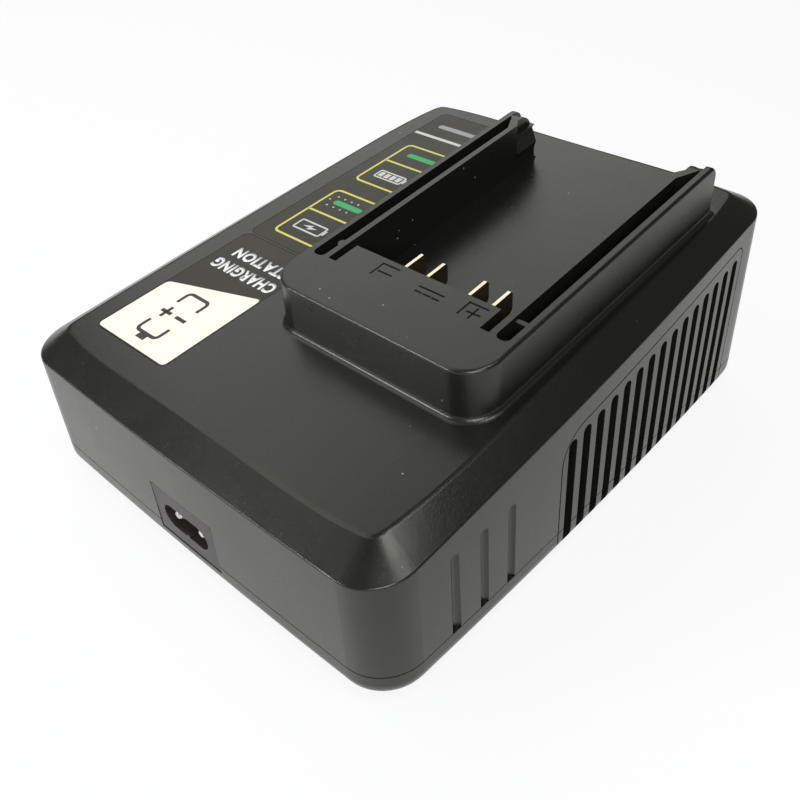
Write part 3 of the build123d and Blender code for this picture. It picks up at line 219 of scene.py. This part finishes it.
join(drawn, lines, "Fac", bump, "Height")
join(drawn, group_in, "Line Depth", bump, "Strength")
join(drawn, bump, "Normal", group_out, "Normal")
join(drawn, lines, "Fac", group_out, "Lines")
print("group", drawn.name, "with", len(drawn.nodes), "nodes")

# %% [markdown]
# ## Placing the groups
# Two short functions turn a colour and a few numbers into a finished material. A moulding gets its grain and its
# specks; a metal gets its lines and, between them, a darker tint. The blend of two colours stays outside the groups,
# because a uniform colour belongs where a reader looks for it.

# %% Material makers
SPECK_GAIN = 1.6
SPECK_LIFT = 0.02
LINE_DEPTH = 0.2
COLOUR_RESULT = 2


def blend_colours(material, shader, mask, first, second):
    """Mixes two colours by a mask from a group and joins the mix to the shader."""
    tree = material.node_tree
    blend = add_node(tree, "ShaderNodeMix", (-200, 250), data_type="RGBA")
    blend.inputs["A"].default_value = (*first, 1.0)
    blend.inputs["B"].default_value = (*second, 1.0)
    tree.links.new(mask, blend.inputs["Factor"])
    tree.links.new(blend.outputs[COLOUR_RESULT], shader.inputs["Base Color"])


def moulded(name, colour, low, high, size, depth, specular=0.5, specks=None):
    """A moulded plastic or rubber with grain, patches of gloss from low to high and a few pale specks."""
    material, shader = start_material(name, colour, low, specular=specular)
    tree = material.node_tree
    group = add_node(tree, "ShaderNodeGroup", (-500, 0), node_tree=grain)
    group.inputs["Grain Size"].default_value = size
    group.inputs["Grain Depth"].default_value = depth
    group.inputs["Roughness Low"].default_value = low
    group.inputs["Roughness High"].default_value = high
    join(tree, group, "Roughness", shader, "Roughness")
    join(tree, group, "Normal", shader, "Normal")
    pale = specks or tuple(min(1.0, SPECK_GAIN * channel + SPECK_LIFT) for channel in colour)
    blend_colours(material, shader, group.outputs["Specks"], colour, pale)
    return material


def metal(name, colour, dark, low, high):
    """A drawn or rolled metal with lines along the charger."""
    material, shader = start_material(name, colour, low, metallic=1.0)
    tree = material.node_tree
    group = add_node(tree, "ShaderNodeGroup", (-500, 0), node_tree=drawn)
    group.inputs["Roughness Low"].default_value = low
    group.inputs["Roughness High"].default_value = high
    group.inputs["Line Depth"].default_value = LINE_DEPTH
    join(tree, group, "Roughness", shader, "Roughness")
    join(tree, group, "Normal", shader, "Normal")
    blend_colours(material, shader, group.outputs["Lines"], dark, colour)
    return material


def dress(material, *names):
    """Gives a material to every slot of the named nodes."""
    for name in names:
        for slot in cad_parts[name].material_slots:
            slot.material = material
    print(material.name, "on", ", ".join(names))


print("specks are", SPECK_GAIN, "times as bright as their plastic, metal lines have a depth of", LINE_DEPTH)

# %% [markdown]
# ## The housing plastic
# Both halves and the dock are one black moulding compound, a little warm in hue. Near black plastic shows its form
# by its gloss alone, so the colour is low and even, and the work is in the roughness, in the warm tint of the gloss
# and in a grain that sparkles on the chamfer while the flat deck stays smooth.

# %% Housing
HOUSING_COLOUR = (0.0080, 0.0080, 0.0070)
HOUSING_SPECK = (0.30, 0.28, 0.22)
HOUSING_SHEEN = (1.0, 0.98, 0.83)

housing = moulded("housing_plastic", HOUSING_COLOUR, low=0.24, high=0.30, size=3200.0, depth=0.50,
                  specks=HOUSING_SPECK)
housing.node_tree.nodes["Principled BSDF"].inputs["Specular Tint"].default_value = (*HOUSING_SHEEN, 1.0)
dress(housing, "top_housing", "bottom_housing")

# %% [markdown]
# ## The films and the light bar
# The films are printed polyester with a fine satin face, a shade warmer than the housing. The light bar in the rear
# film is a milky diffuser: it scatters light a short way inside, so it gets a little subsurface instead of a paler
# colour.

# %% Films and light bar
FILM_COLOUR = (0.017, 0.016, 0.010)
FILM_SHEEN = (1.0, 0.975, 0.76)
BAR_COLOUR = (0.27, 0.27, 0.25)
BAR_SCATTER = 0.25
BAR_SCATTER_REACH = 0.6 * MM

film = moulded("film_satin", FILM_COLOUR, low=0.36, high=0.44, size=2600.0, depth=0.15, specular=0.345)
film.node_tree.nodes["Principled BSDF"].inputs["Specular Tint"].default_value = (*FILM_SHEEN, 1.0)
dress(film, "front_label", "legend_label")

light_bar = moulded("milky_bar", BAR_COLOUR, low=0.30, high=0.38, size=2200.0, depth=0.10)
bar_shader = light_bar.node_tree.nodes["Principled BSDF"]
bar_shader.inputs["Subsurface Weight"].default_value = BAR_SCATTER
bar_shader.inputs["Subsurface Scale"].default_value = BAR_SCATTER_REACH
dress(light_bar, "status_window")

# %% [markdown]
# ## The contacts
# The four blades are stamped from tinned brass. Their flat sides are coloured a dark olive brown, which is painted
# shade, and their sheared upper edges a bright cream, which is painted light. All four stand upright and face to
# the side, so the share of the normal across the charger tells the flat sides from the edges.

# %% Blades and pins
BLADE_LIT_EDGE_COLOUR = (0.84, 0.77, 0.56)
BLADE_SHADED_SIDE_COLOUR = (0.40, 0.32, 0.20)
BLADE_ROUGHNESS = (0.28, 0.42)
BLADE_LINE_DEPTH = 0.15

blade_metal, shader = start_material("tinned_blade", BLADE_SHADED_SIDE_COLOUR, BLADE_ROUGHNESS[0], metallic=1.0)
tree = blade_metal.node_tree
group = add_node(tree, "ShaderNodeGroup", (-700, -200), node_tree=drawn)
group.inputs["Roughness Low"].default_value = BLADE_ROUGHNESS[0]
group.inputs["Roughness High"].default_value = BLADE_ROUGHNESS[1]
group.inputs["Line Depth"].default_value = BLADE_LINE_DEPTH
join(tree, group, "Roughness", shader, "Roughness")
join(tree, group, "Normal", shader, "Normal")
surface = add_node(tree, "ShaderNodeNewGeometry", (-900, 200))
facing = add_node(tree, "ShaderNodeSeparateXYZ", (-700, 200))
join(tree, surface, "True Normal", facing, "Vector")
side_shade_mask = add_node(tree, "ShaderNodeMath", (-500, 200), operation="ABSOLUTE")
join(tree, facing, "X", side_shade_mask, 0)
# Painted shade on the flat sides and painted light on the upper edges, chosen by the way each face points.
blend_colours(blade_metal, shader, side_shade_mask.outputs[0], BLADE_LIT_EDGE_COLOUR, BLADE_SHADED_SIDE_COLOUR)
dress(blade_metal, *(f"battery_blade_{number}" for number in range(1, 5)))

pin_metal = metal("nickel_pin", (0.90, 0.88, 0.84), dark=(0.62, 0.60, 0.56), low=0.18, high=0.30)
dress(pin_metal, "inlet_pins")

# %% [markdown]
# ## Inlet, block, feet and screws
# The inlet is a separate moulding of a slightly browner black, the contact block is the same compound as the housing
# but unpolished, the feet are matt rubber and the screws are zinc plated.

# %% Small outer pieces
inlet = moulded("inlet_plastic", (0.022, 0.015, 0.015), low=0.36, high=0.48, size=1800.0, depth=0.30)
dress(inlet, "inlet_socket")

block = moulded("block_plastic", (0.020, 0.020, 0.021), low=0.45, high=0.58, size=1500.0, depth=0.50)
dress(block, "terminal_block")

rubber = moulded("foot_rubber", (0.018, 0.018, 0.018), low=0.75, high=0.9, size=1800.0, depth=0.60, specular=0.3)
dress(rubber, "rubber_feet")

zinc = metal("zinc_screw", (0.60, 0.60, 0.62), dark=(0.40, 0.40, 0.42), low=0.30, high=0.45)
dress(zinc, "board_screws", "housing_screws")

# %% [markdown]
# ## The pieces on the board
# Little of the inside shows through the vents, yet each piece gets what it is made of: glass laminate with its
# weave, grey ferrite, yellow tape in turns, copper wire side by side, shrink sleeve, dipped discs and anodised sheet.

# %% Inner finishes
# Each row holds a name, a colour, the lowest and the highest roughness, and the pieces.
INNER_FINISHES = (
    ("grey_ferrite", (0.045, 0.045, 0.048), 0.55, 0.75, ("transformer_core", "emi_choke_core")),
    ("shrink_sleeve", (0.020, 0.024, 0.040), 0.25, 0.38, ("bulk_capacitor", "output_capacitors")),
    ("yellow_box", (0.52, 0.36, 0.04), 0.25, 0.38, ("x_capacitor",)),
    ("black_epoxy", (0.015, 0.015, 0.015), 0.45, 0.60,
     ("fuse", "bridge_rectifier", "switch_transistor", "output_diode", "optocoupler", "control_chip")),
    ("dipped_blue", (0.03, 0.09, 0.36), 0.20, 0.35, ("y_capacitor",)),
    ("dipped_green", (0.03, 0.14, 0.06), 0.20, 0.35, ("thermistor",)),
    ("lamp_resin", (0.62, 0.66, 0.58), 0.15, 0.25, ("status_leds",)),
    ("lead_black", (0.020, 0.020, 0.020), 0.35, 0.50, ("mains_leads",)),
    ("lead_red", (0.34, 0.020, 0.015), 0.35, 0.50, ("output_leads",)),
    ("lead_white", (0.62, 0.62, 0.58), 0.35, 0.50, ("led_leads",)),
)
for name, colour, low, high, nodes in INNER_FINISHES:
    dress(moulded(name, colour, low, high, size=1600.0, depth=0.3), *nodes)

sheet = metal("anodised_sheet", (0.16, 0.16, 0.17), dark=(0.10, 0.10, 0.11), low=0.35, high=0.50)
dress(sheet, "primary_heat_sink", "output_heat_sink")

# %% [markdown]
# Three of the inner finishes have a pattern of their own: the laminate's weave, the turns of tape around the
# transformer and the turns of wire on the choke. Each is one wave texture on the piece's own position.

# %% Weave, tape and wire
BAND_WOBBLE = 0.4
BAND_RELIEF = 0.3


def banded(name, first, second, scale, direction, low, high):
    """A plastic with bands of two colours across one axis, such as turns of tape or wire."""
    material, shader = start_material(name, first, low)
    tree = material.node_tree
    place = add_node(tree, "ShaderNodeTexCoord", (-900, 0))
    bands = add_node(tree, "ShaderNodeTexWave", (-700, 0), Scale=scale, Distortion=BAND_WOBBLE,
                     bands_direction=direction)
    join(tree, place, "Object", bands, "Vector")
    blend_colours(material, shader, bands.outputs["Fac"], first, second)
    gloss = add_node(tree, "ShaderNodeMapRange", (-400, -150), To_Min=low, To_Max=high)
    join(tree, bands, "Fac", gloss, "Value")
    join(tree, gloss, "Result", shader, "Roughness")
    relief = add_node(tree, "ShaderNodeBump", (-400, -350), Strength=BAND_RELIEF, Distance=RELIEF_STEP)
    join(tree, bands, "Fac", relief, "Height")
    join(tree, relief, "Normal", shader, "Normal")
    return material


tape = banded("winding_tape", (0.58, 0.42, 0.05), (0.42, 0.29, 0.03), scale=110.0, direction="Z",
              low=0.2, high=0.35)
dress(tape, "transformer_winding")

wire = banded("enamelled_wire", (0.42, 0.13, 0.03), (0.20, 0.05, 0.01), scale=300.0, direction="DIAGONAL",
              low=0.2, high=0.4)
dress(wire, "emi_choke_windings")

laminate = banded("board_laminate", (0.16, 0.20, 0.07), (0.12, 0.16, 0.05), scale=500.0, direction="X",
                  low=0.3, high=0.45)
dress(laminate, "main_board", "led_board")

# %% [markdown]
# ## The planes that carry the signs
# Prints lie on the sloping deck and on the top of the dock, which rises a little faster. A print is drawn flat, in
# millimetres, and then sheared onto its plane: the plan stays true and only the height changes along the charger.
# The deck's height comes from the rear film, whose rear edge is its highest. The dock's comes from a blade, whose
# highest point lies a little in front of its rear end.

# %% Planes
DECK_SLOPE = 0.1434
DOCK_SLOPE = 0.1565
BLADE_NOSE = 0.6 * MM

film_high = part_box("legend_label")[1]
blade_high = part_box("battery_blade_1")[1]
deck_height = film_high[2] - DECK_SLOPE * film_high[1]
dock_height = blade_high[2] - DOCK_SLOPE * (blade_high[1] - BLADE_NOSE)
print("deck crosses the middle at", round(deck_height / MM, 2), "mm, dock at", round(dock_height / MM, 2), "mm")


def plane_matrix(slope, height):
    """Turns flat millimetres into metres on a plane that rises along the charger."""
    scale = Matrix.Scale(MM, 4)
    shear = Matrix.Identity(4)
    shear[2][1] = slope
    return Matrix.Translation((0.0, 0.0, height)) @ shear @ scale


ON_DECK = plane_matrix(DECK_SLOPE, deck_height)
ON_DOCK = plane_matrix(DOCK_SLOPE, dock_height)

# %% [markdown]
# ## Drawing with operators
# Each shape of a print is a small mesh of its own: its corners are filled with one face, rounded with a vertex
# bevel, inset and hollowed where it is a line, and raised by a few hundredths of a millimetre. Then it joins the
# others of its colour. Words are set with Blender's own font, turned into a mesh and fitted to their line. Bold
# letters are spaced out, because outlines that run into each other leave the mesh open.

# %% Shape helpers
BEVEL_STEPS = 5
DOT_SIDES = 16
TEXT_STEPS = 4
LETTER_SPACE = 1.12
MERGE_REACH = 1e-5


def raise_shape(form, low, high):
    """Gives flat faces a thickness from one height to another and turns all faces outwards."""
    bmesh.ops.translate(form, vec=(0.0, 0.0, low), verts=form.verts)
    grown = bmesh.ops.extrude_face_region(form, geom=form.faces[:], use_keep_orig=True)
    top = [part for part in grown["geom"] if isinstance(part, bmesh.types.BMVert)]
    bmesh.ops.translate(form, vec=(0.0, 0.0, high - low), verts=top)
    bmesh.ops.recalc_face_normals(form, faces=form.faces)


def add_shape(target, corners, layer, radius=0.0, line=0.0, cut_point=None, cut_side=None):
    """Adds one flat shape to a print: a filled polygon or, with a line width, its outline.

    The corners are joined by edges before the fill, because a fill from loose corners takes their convex hull.
    A cut takes away what lies on one side of a point, and leaves an outline open there.
    """
    form = bmesh.new()
    points = [form.verts.new((x, y, 0.0)) for x, y in corners]
    for point, next_point in zip(points, points[1:] + points[:1]):
        form.edges.new((point, next_point))
    bmesh.ops.contextual_create(form, geom=form.edges[:])
    if radius:
        bmesh.ops.bevel(form, geom=form.verts[:], offset=radius, offset_type="OFFSET", affect="VERTICES",
                        segments=BEVEL_STEPS, profile=0.5, material=-1)
    if line:
        inset = bmesh.ops.inset_region(form, faces=form.faces[:], thickness=line, use_boundary=True,
                                       use_even_offset=True)
        middle = [face for face in form.faces if face not in inset["faces"]]
        bmesh.ops.delete(form, geom=middle, context="FACES")
    if cut_point:
        everything = form.verts[:] + form.edges[:] + form.faces[:]
        bmesh.ops.bisect_plane(form, geom=everything, plane_co=cut_point, plane_no=cut_side, clear_outer=True)
    raise_shape(form, *layer)
    keep_shape(form, target)


def add_dot(target, x, y, radius, layer):
    """Adds one round dot to a print."""
    form = bmesh.new()
    bmesh.ops.create_circle(form, cap_ends=True, radius=radius, segments=DOT_SIDES,
                            matrix=Matrix.Translation((x, y, 0.0)))
    raise_shape(form, *layer)
    keep_shape(form, target)


def keep_shape(form, target):
    """Copies a finished shape into the print it belongs to."""
    mesh = bpy.data.meshes.new("shape")
    form.to_mesh(mesh)
    form.free()
    target.from_mesh(mesh)
    bpy.data.meshes.remove(mesh)


def add_word(target, word, x0, y0, x1, y1, layer, bold):
    """Sets a word in a box; it reads from the rear, so that its tops point to the front."""
    curve = bpy.data.curves.new("word", type="FONT")
    curve.body = word
    curve.offset = bold
    curve.resolution_u = TEXT_STEPS
    curve.space_character = LETTER_SPACE
    carrier = bpy.data.objects.new("word", curve)
    scene.collection.objects.link(carrier)
    bpy.context.view_layer.update()
    mesh = bpy.data.meshes.new_from_object(carrier.evaluated_get(bpy.context.evaluated_depsgraph_get()))
    bpy.data.objects.remove(carrier)
    form = bmesh.new()
    form.from_mesh(mesh)
    bmesh.ops.remove_doubles(form, verts=form.verts, dist=MERGE_REACH)
    low = Vector([min(vert.co[axis] for vert in form.verts) for axis in range(3)])
    high = Vector([max(vert.co[axis] for vert in form.verts) for axis in range(3)])
    size = Vector(((x1 - x0) / (high.x - low.x), (y1 - y0) / (high.y - low.y), 1.0))
    turn = Matrix.Rotation(math.pi, 4, "Z")
    middle = Matrix.Translation(((x0 + x1) / 2, (y0 + y1) / 2, 0.0))
    centre = Matrix.Translation(-(low + high) / 2)
    bmesh.ops.transform(form, matrix=middle @ turn @ Matrix.Diagonal((*size, 1.0)) @ centre, verts=form.verts)
    raise_shape(form, *layer)
    keep_shape(form, target)
    bpy.data.meshes.remove(mesh)
    bpy.data.curves.remove(curve)


def finish_print(name, form, plane, material):
    """Lays a print on its plane and makes it an object that rides with the charger."""
    bmesh.ops.transform(form, matrix=plane, verts=form.verts)
    mesh = bpy.data.meshes.new(name)
    form.to_mesh(mesh)
    form.free()
    mesh.materials.append(material)
    piece = bpy.data.objects.new(name, mesh)
    scene.collection.objects.link(piece)
    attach(piece, "root")
    print(name, len(mesh.polygons), "faces")


def rectangle(x0, y0, x1, y1):
    """Corners of an upright rectangle, in order."""
    return ((x0, y0), (x1, y0), (x1, y1), (x0, y1))


print("round corners in", BEVEL_STEPS, "steps, dots with", DOT_SIDES, "sides, letters in", TEXT_STEPS, "steps")

# %% [markdown]
# ## Inks
# Screen print is matt and a little uneven. One moulded finish per colour with a very fine grain does for all of
# them. The black stands for the shadow in an engraving, so it hardly shines.

# %% Inks
SHADOW_SHEEN = 0.05
INKS = {
    "ink_cream": (0.88, 0.87, 0.74),
    "ink_white": (0.82, 0.82, 0.80),
    "ink_grey": (0.56, 0.56, 0.54),
    "ink_yellow": (0.62, 0.57, 0.12),
    "ink_green": (0.035, 0.36, 0.11),
    "ink_dark": (0.040, 0.038, 0.030),
    # The black is painted shadow for the engraving on the dock, not an ink.
    "painted_engraving_shadow": (0.006, 0.006, 0.006),
}
inks = {name: moulded(name, colour, low=0.45, high=0.55, size=3000.0, depth=0.12, specular=0.4)
        for name, colour in INKS.items()}
inks["painted_engraving_shadow"].node_tree.nodes["Principled BSDF"].inputs["Specular IOR Level"].default_value = SHADOW_SHEEN
print(len(inks), "inks")

# %% [markdown]
# ## Prints on the front film
# A cream panel with a slanted rear edge fills the front of the film. On it stands a battery sign: two brackets that
# open towards each other are the case, a small block is its cap, and a plus and a minus stand side by side in the
# gap. A print dips a little into what it lies on, the panel into the film and the sign into the panel, so that no
# two faces share a plane.

# %% Panel and battery sign
SINK = 0.01
# Lowest and highest face of a print above its plane, in millimetres.
UNDER = (-SINK, 0.03)
OVER = (0.02, 0.05)
PANEL_CORNERS = ((-46.5, -61.2), (-19.8, -61.2), (-19.8, -33.5), (-46.5, -41.6))
PANEL_RADIUS = 1.2

panel = bmesh.new()
add_shape(panel, PANEL_CORNERS, UNDER, radius=PANEL_RADIUS)
finish_print("panel_print", panel, ON_DECK, inks["ink_cream"])

SIGN_LINE = 0.95
SIGN_RADIUS = 1.7
SIGN_CORNERS = rectangle(-37.5, -57.3, -28.9, -41.1)
SIGN_CUTS = (((0.0, -52.9, 0.0), (0.0, 1.0, 0.0)), ((0.0, -45.5, 0.0), (0.0, -1.0, 0.0)))
SIGN_CAP = rectangle(-34.7, -58.7, -31.7, -57.2)
PLUS_ACROSS = rectangle(-37.9, -49.7, -34.1, -48.7)
PLUS_ALONG = rectangle(-36.5, -51.1, -35.5, -47.3)
MINUS = rectangle(-32.3, -49.7, -28.5, -48.7)

sign = bmesh.new()
for cut_point, cut_side in SIGN_CUTS:
    add_shape(sign, SIGN_CORNERS, OVER, radius=SIGN_RADIUS, line=SIGN_LINE, cut_point=cut_point, cut_side=cut_side)
for corners in (SIGN_CAP, PLUS_ACROSS, PLUS_ALONG, MINUS):
    add_shape(sign, corners, OVER)
finish_print("battery_sign", sign, ON_DECK, inks["ink_dark"])

# %% [markdown]
# ## The words
# Behind the panel two words in white say what the device is. Each is stretched to a box of its own, because a print
# is laid out by the space it has and not by the size of a font.

# %% Words
WORD_WEIGHT = 0.04
# Each row holds a word and the left, front, right and rear edge of its box.
WORDS = (("CHARGING", -43.6, -31.3, -20.4, -27.5), ("STATION", -42.1, -25.6, -22.1, -21.9))

words = bmesh.new()
for word, *box in WORDS:
    add_word(words, word, *box, UNDER, WORD_WEIGHT)
finish_print("words_print", words, ON_DECK, inks["ink_white"])

# %% [markdown]
# ## Prints on the legend film
# Two boxes explain the light. The front half of each holds a battery, once with a bolt while it charges and once
# with four full cells, and the rear half shows how the bar then shines. Rays of dots round the first bar stand for a
# flashing light. Each box is a whole outline that is cut open on the right, where it runs to the edge of the film.

# %% Legend frames
BOX_LINE = 0.7
BOX_RADIUS = 2.0
BOX_END = -19.7
# Each row holds the left, front and rear edge of a box and the middle of its divider.
BOXES = ((-42.2, -11.88, 12.17, 0.82), (-42.6, 18.45, 42.0, 31.3))

frames = bmesh.new()
for x0, y0, y1, divider in BOXES:
    add_shape(frames, rectangle(x0, y0, 0.0, y1), UNDER, radius=BOX_RADIUS, line=BOX_LINE,
              cut_point=(BOX_END, 0.0, 0.0), cut_side=(1.0, 0.0, 0.0))
    add_shape(frames, rectangle(x0 + BOX_LINE / 2, divider - BOX_LINE / 2, BOX_END, divider + BOX_LINE / 2), UNDER)
finish_print("legend_frames", frames, ON_DECK, inks["ink_yellow"])

# %% [markdown]
# ## Bars, batteries and rule
# The bars are green and the icons grey, so each colour is a print of its own. What comes in a row, the dots and the
# cells, is made by a loop with a start and a step. A grey rule behind the boxes leads to the light bar itself.

# %% Legend bars
BAR_RADIUS = 0.9
BARS = (rectangle(-37.9, 5.8, -27.4, 7.8), rectangle(-38.3, 35.8, -27.4, 37.8))

bars = bmesh.new()
for corners in BARS:
    add_shape(bars, corners, UNDER, radius=BAR_RADIUS)
finish_print("legend_bars", bars, ON_DECK, inks["ink_green"])

# %% Legend icons
DOT_RADIUS = 0.3
DOT_START = -38.6
DOT_STEP = 2.6
DOT_COUNT = 4
DOT_ROWS = (9.08, 4.61)
END_DOT = (-40.1, 7.1)

icons = bmesh.new()
for row in DOT_ROWS:
    for index in range(DOT_COUNT):
        add_dot(icons, DOT_START + index * DOT_STEP, row, DOT_RADIUS, UNDER)
add_dot(icons, *END_DOT, DOT_RADIUS, UNDER)

ICON_LINE = 0.55
ICON_RADIUS = 0.7
BATTERY_XS = (-38.9, -28.6)
BATTERY_YS = ((-7.92, -3.55), (22.53, 26.52))
CAP_XS = (-28.5, -27.9)
CAP_HALF = 1.0
for y0, y1 in BATTERY_YS:
    middle = (y0 + y1) / 2
    add_shape(icons, rectangle(BATTERY_XS[0], y0, BATTERY_XS[1], y1), UNDER, radius=ICON_RADIUS, line=ICON_LINE)
    add_shape(icons, rectangle(CAP_XS[0], middle - CAP_HALF, CAP_XS[1], middle + CAP_HALF), UNDER)

CELL_START = -37.9
CELL_STEP = 2.2
CELL_COUNT = 4
CELL_WIDTH = 1.65
CELL_YS = (23.45, 25.6)
for index in range(CELL_COUNT):
    cell_x = CELL_START + index * CELL_STEP
    add_shape(icons, rectangle(cell_x, CELL_YS[0], cell_x + CELL_WIDTH, CELL_YS[1]), UNDER)

BOLT = ((-36.4, -5.9), (-33.3, -4.7), (-33.6, -5.6), (-31.3, -5.6), (-34.3, -6.9), (-34.0, -5.95))
add_shape(icons, BOLT, UNDER)
finish_print("legend_icons", icons, ON_DECK, inks["ink_grey"])

# %% Rule
RULE = rectangle(-46.6, 48.35, -19.8, 49.55)

rule = bmesh.new()
add_shape(rule, RULE, UNDER)
finish_print("legend_rule", rule, ON_DECK, inks["ink_grey"])

# %% [markdown]
# ## Signs on the dock
# The tops of the poles are marked by shallow engraved brackets with a minus and a plus, and a direct current symbol
# stands between them. The engraving is a tenth of a millimetre deep, too fine for the solids, so dark lines stand
# in for its shadow.

# %% Dock signs
DOCK_LINE = 0.5
ENGRAVED = (-SINK, 0.012)


def add_stroke(target, x0, y0, x1, y1, layer):
    """One dark line of painted shadow for an engraved line, of even width between two points."""
    along = Vector((x1 - x0, y1 - y0)).normalized()
    across = Vector((-along.y, along.x)) * DOCK_LINE / 2
    start = Vector((x0, y0)) - along * DOCK_LINE / 2
    end = Vector((x1, y1)) + along * DOCK_LINE / 2
    corners = (start - across, end - across, end + across, start + across)
    add_shape(target, [tuple(corner) for corner in corners], layer)


# Each stroke is given by the x and y of its two ends.
MINUS_STROKES = ((8.8, -23.7, 8.8, -19.6), (8.8, -19.6, 13.7, -19.55), (9.7, -22.15, 13.4, -22.1))
PLUS_STROKES = ((34.1, -23.65, 34.1, -19.65), (34.1, -19.65, 39.0, -19.6), (35.45, -22.2, 38.65, -22.1),
                (37.0, -23.75, 36.95, -20.55))
CURRENT_STROKE = (21.4, -21.3, 28.2, -21.25)
DASH_XS = (21.6, 24.0, 26.4)
DASH_LENGTH = 1.6
DASH_Y = -22.9

marks = bmesh.new()
for x0, y0, x1, y1 in (*MINUS_STROKES, *PLUS_STROKES, CURRENT_STROKE):
    add_stroke(marks, x0, y0, x1, y1, ENGRAVED)
for x in DASH_XS:
    add_stroke(marks, x, DASH_Y, x + DASH_LENGTH, DASH_Y, ENGRAVED)
finish_print("dock_marks", marks, ON_DOCK, inks["painted_engraving_shadow"])

# %% [markdown]
# ## The table
# The charger stands on a white table that runs far past the picture. Its white is its own colour. The camera,
# mirrors and glass see it topped up to a plain white, while the light that falls on it still draws the shadow.

# %% Table
TABLE_RADIUS = 6.0
TABLE_SIDES = 96
TABLE_COLOUR = (0.88, 0.88, 0.88)
TABLE_ROUGHNESS = 0.8
TABLE_SHEEN = 0.2
TABLE_GLOW = 0.85

table_mesh = bpy.data.meshes.new("table")
form = bmesh.new()
bmesh.ops.create_circle(form, cap_ends=True, radius=TABLE_RADIUS, segments=TABLE_SIDES)
form.to_mesh(table_mesh)
form.free()
table = bpy.data.objects.new("table", table_mesh)
scene.collection.objects.link(table)

table_white, shader = start_material("table_white", TABLE_COLOUR, TABLE_ROUGHNESS, specular=TABLE_SHEEN)
tree = table_white.node_tree
ray = add_node(tree, "ShaderNodeLightPath", (-600, 300))
seen = add_node(tree, "ShaderNodeMath", (-400, 300), operation="MAXIMUM")
join(tree, ray, "Is Camera Ray", seen, 0)
join(tree, ray, "Is Glossy Ray", seen, 1)
seen_through = add_node(tree, "ShaderNodeMath", (-200, 300), operation="MAXIMUM")
join(tree, seen, 0, seen_through, 0)
join(tree, ray, "Is Transmission Ray", seen_through, 1)
share = add_node(tree, "ShaderNodeMath", (0, 300), operation="MULTIPLY")
share.inputs[1].default_value = TABLE_GLOW
join(tree, seen_through, 0, share, 0)
glow = add_node(tree, "ShaderNodeEmission", (0, 100), Strength=1.0)
mixed = add_node(tree, "ShaderNodeMixShader", (300, 100))
join(tree, share, 0, mixed, "Fac")
tree.links.new(shader.outputs[0], mixed.inputs[1])
tree.links.new(glow.outputs[0], mixed.inputs[2])
tree.links.new(mixed.outputs[0], tree.nodes["Material Output"].inputs["Surface"])
table_mesh.materials.append(table_white)
print("table", 2 * TABLE_RADIUS, "m across, with a glow of", TABLE_GLOW)

# %% [markdown]
# ## World
# The world is an even, dim white. It keeps the deepest shadows from going black and leaves the drawing of the form to
# the lamps.

# %% World
WHITE = (1.0, 1.0, 1.0)
WORLD_STRENGTH = 0.10

world = bpy.data.worlds.new("studio")
scene.world = world
world.use_nodes = True
background = world.node_tree.nodes["Background"]
background.inputs["Color"].default_value = (*WHITE, 1.0)
background.inputs["Strength"].default_value = WORLD_STRENGTH
print("world strength", WORLD_STRENGTH)

# %% [markdown]
# ## Lamps
# A dark glossy object is lit by what it mirrors, and a face mirrors a lamp to the camera when it looks half way
# between the two. So the lamps are placed by that direction, which the cell prints for each. The key softbox, high at
# the rear left, suits the deck, and it is kept dim, so that the deck stays dark. The side softbox suits faces that
# lean forwards, the low edge strip faces that are steeper still, and the small ceiling lamp those that lean towards
# the near corner. The prints get their light from the fill softbox behind the camera, which the dark faces hardly
# mirror.

# %% Lamps


def softbox(name, place, aim_at, width, height, power, colour):
    """A rectangular soft lamp that is aimed at a point and isn't itself seen by the camera."""
    data = bpy.data.lights.new(name, "AREA")
    data.shape = "RECTANGLE"
    data.size = width
    data.size_y = height
    data.energy = power
    data.color = colour
    lamp = bpy.data.objects.new(name, data)
    scene.collection.objects.link(lamp)
    lamp.location = place
    lamp.rotation_euler = (Vector(aim_at) - Vector(place)).to_track_quat("-Z", "Y").to_euler()
    lamp.visible_camera = False
    to_lamp = (Vector(place) - Vector(aim_at)).normalized()
    to_camera = (CAMERA_PLACE - Vector(aim_at)).normalized()
    half_way = (to_lamp + to_camera).normalized()
    print(name, power, "W, mirrored by faces that look along", [round(v, 2) for v in half_way])


COOL = (0.90, 0.96, 1.0)
# Each row holds a name, the place and the aim, the width and height in metres, the power in watts and the colour.
LAMPS = (
    ("key_softbox", (-0.72, 0.55, 0.80), (0.0, 0.0, 0.04), 1.1, 0.9, 4.0, WHITE),
    ("fill_softbox", (1.0, -1.0, 0.9), (0.0, 0.0, 0.03), 0.9, 0.9, 19.2, WHITE),
    ("side_softbox", (-0.62, -0.35, 0.90), (0.0, 0.0, 0.04), 0.8, 0.7, 2.8, WHITE),
    ("edge_softbox", (-0.60, -0.94, 0.30), (0.0, 0.0, 0.05), 0.5, 0.14, 5.8, COOL),
    ("ceiling_softbox", (0.40, -0.06, 1.13), (0.0, 0.0, 0.03), 0.35, 0.35, 4.0, COOL),
)
for row in LAMPS:
    softbox(*row)
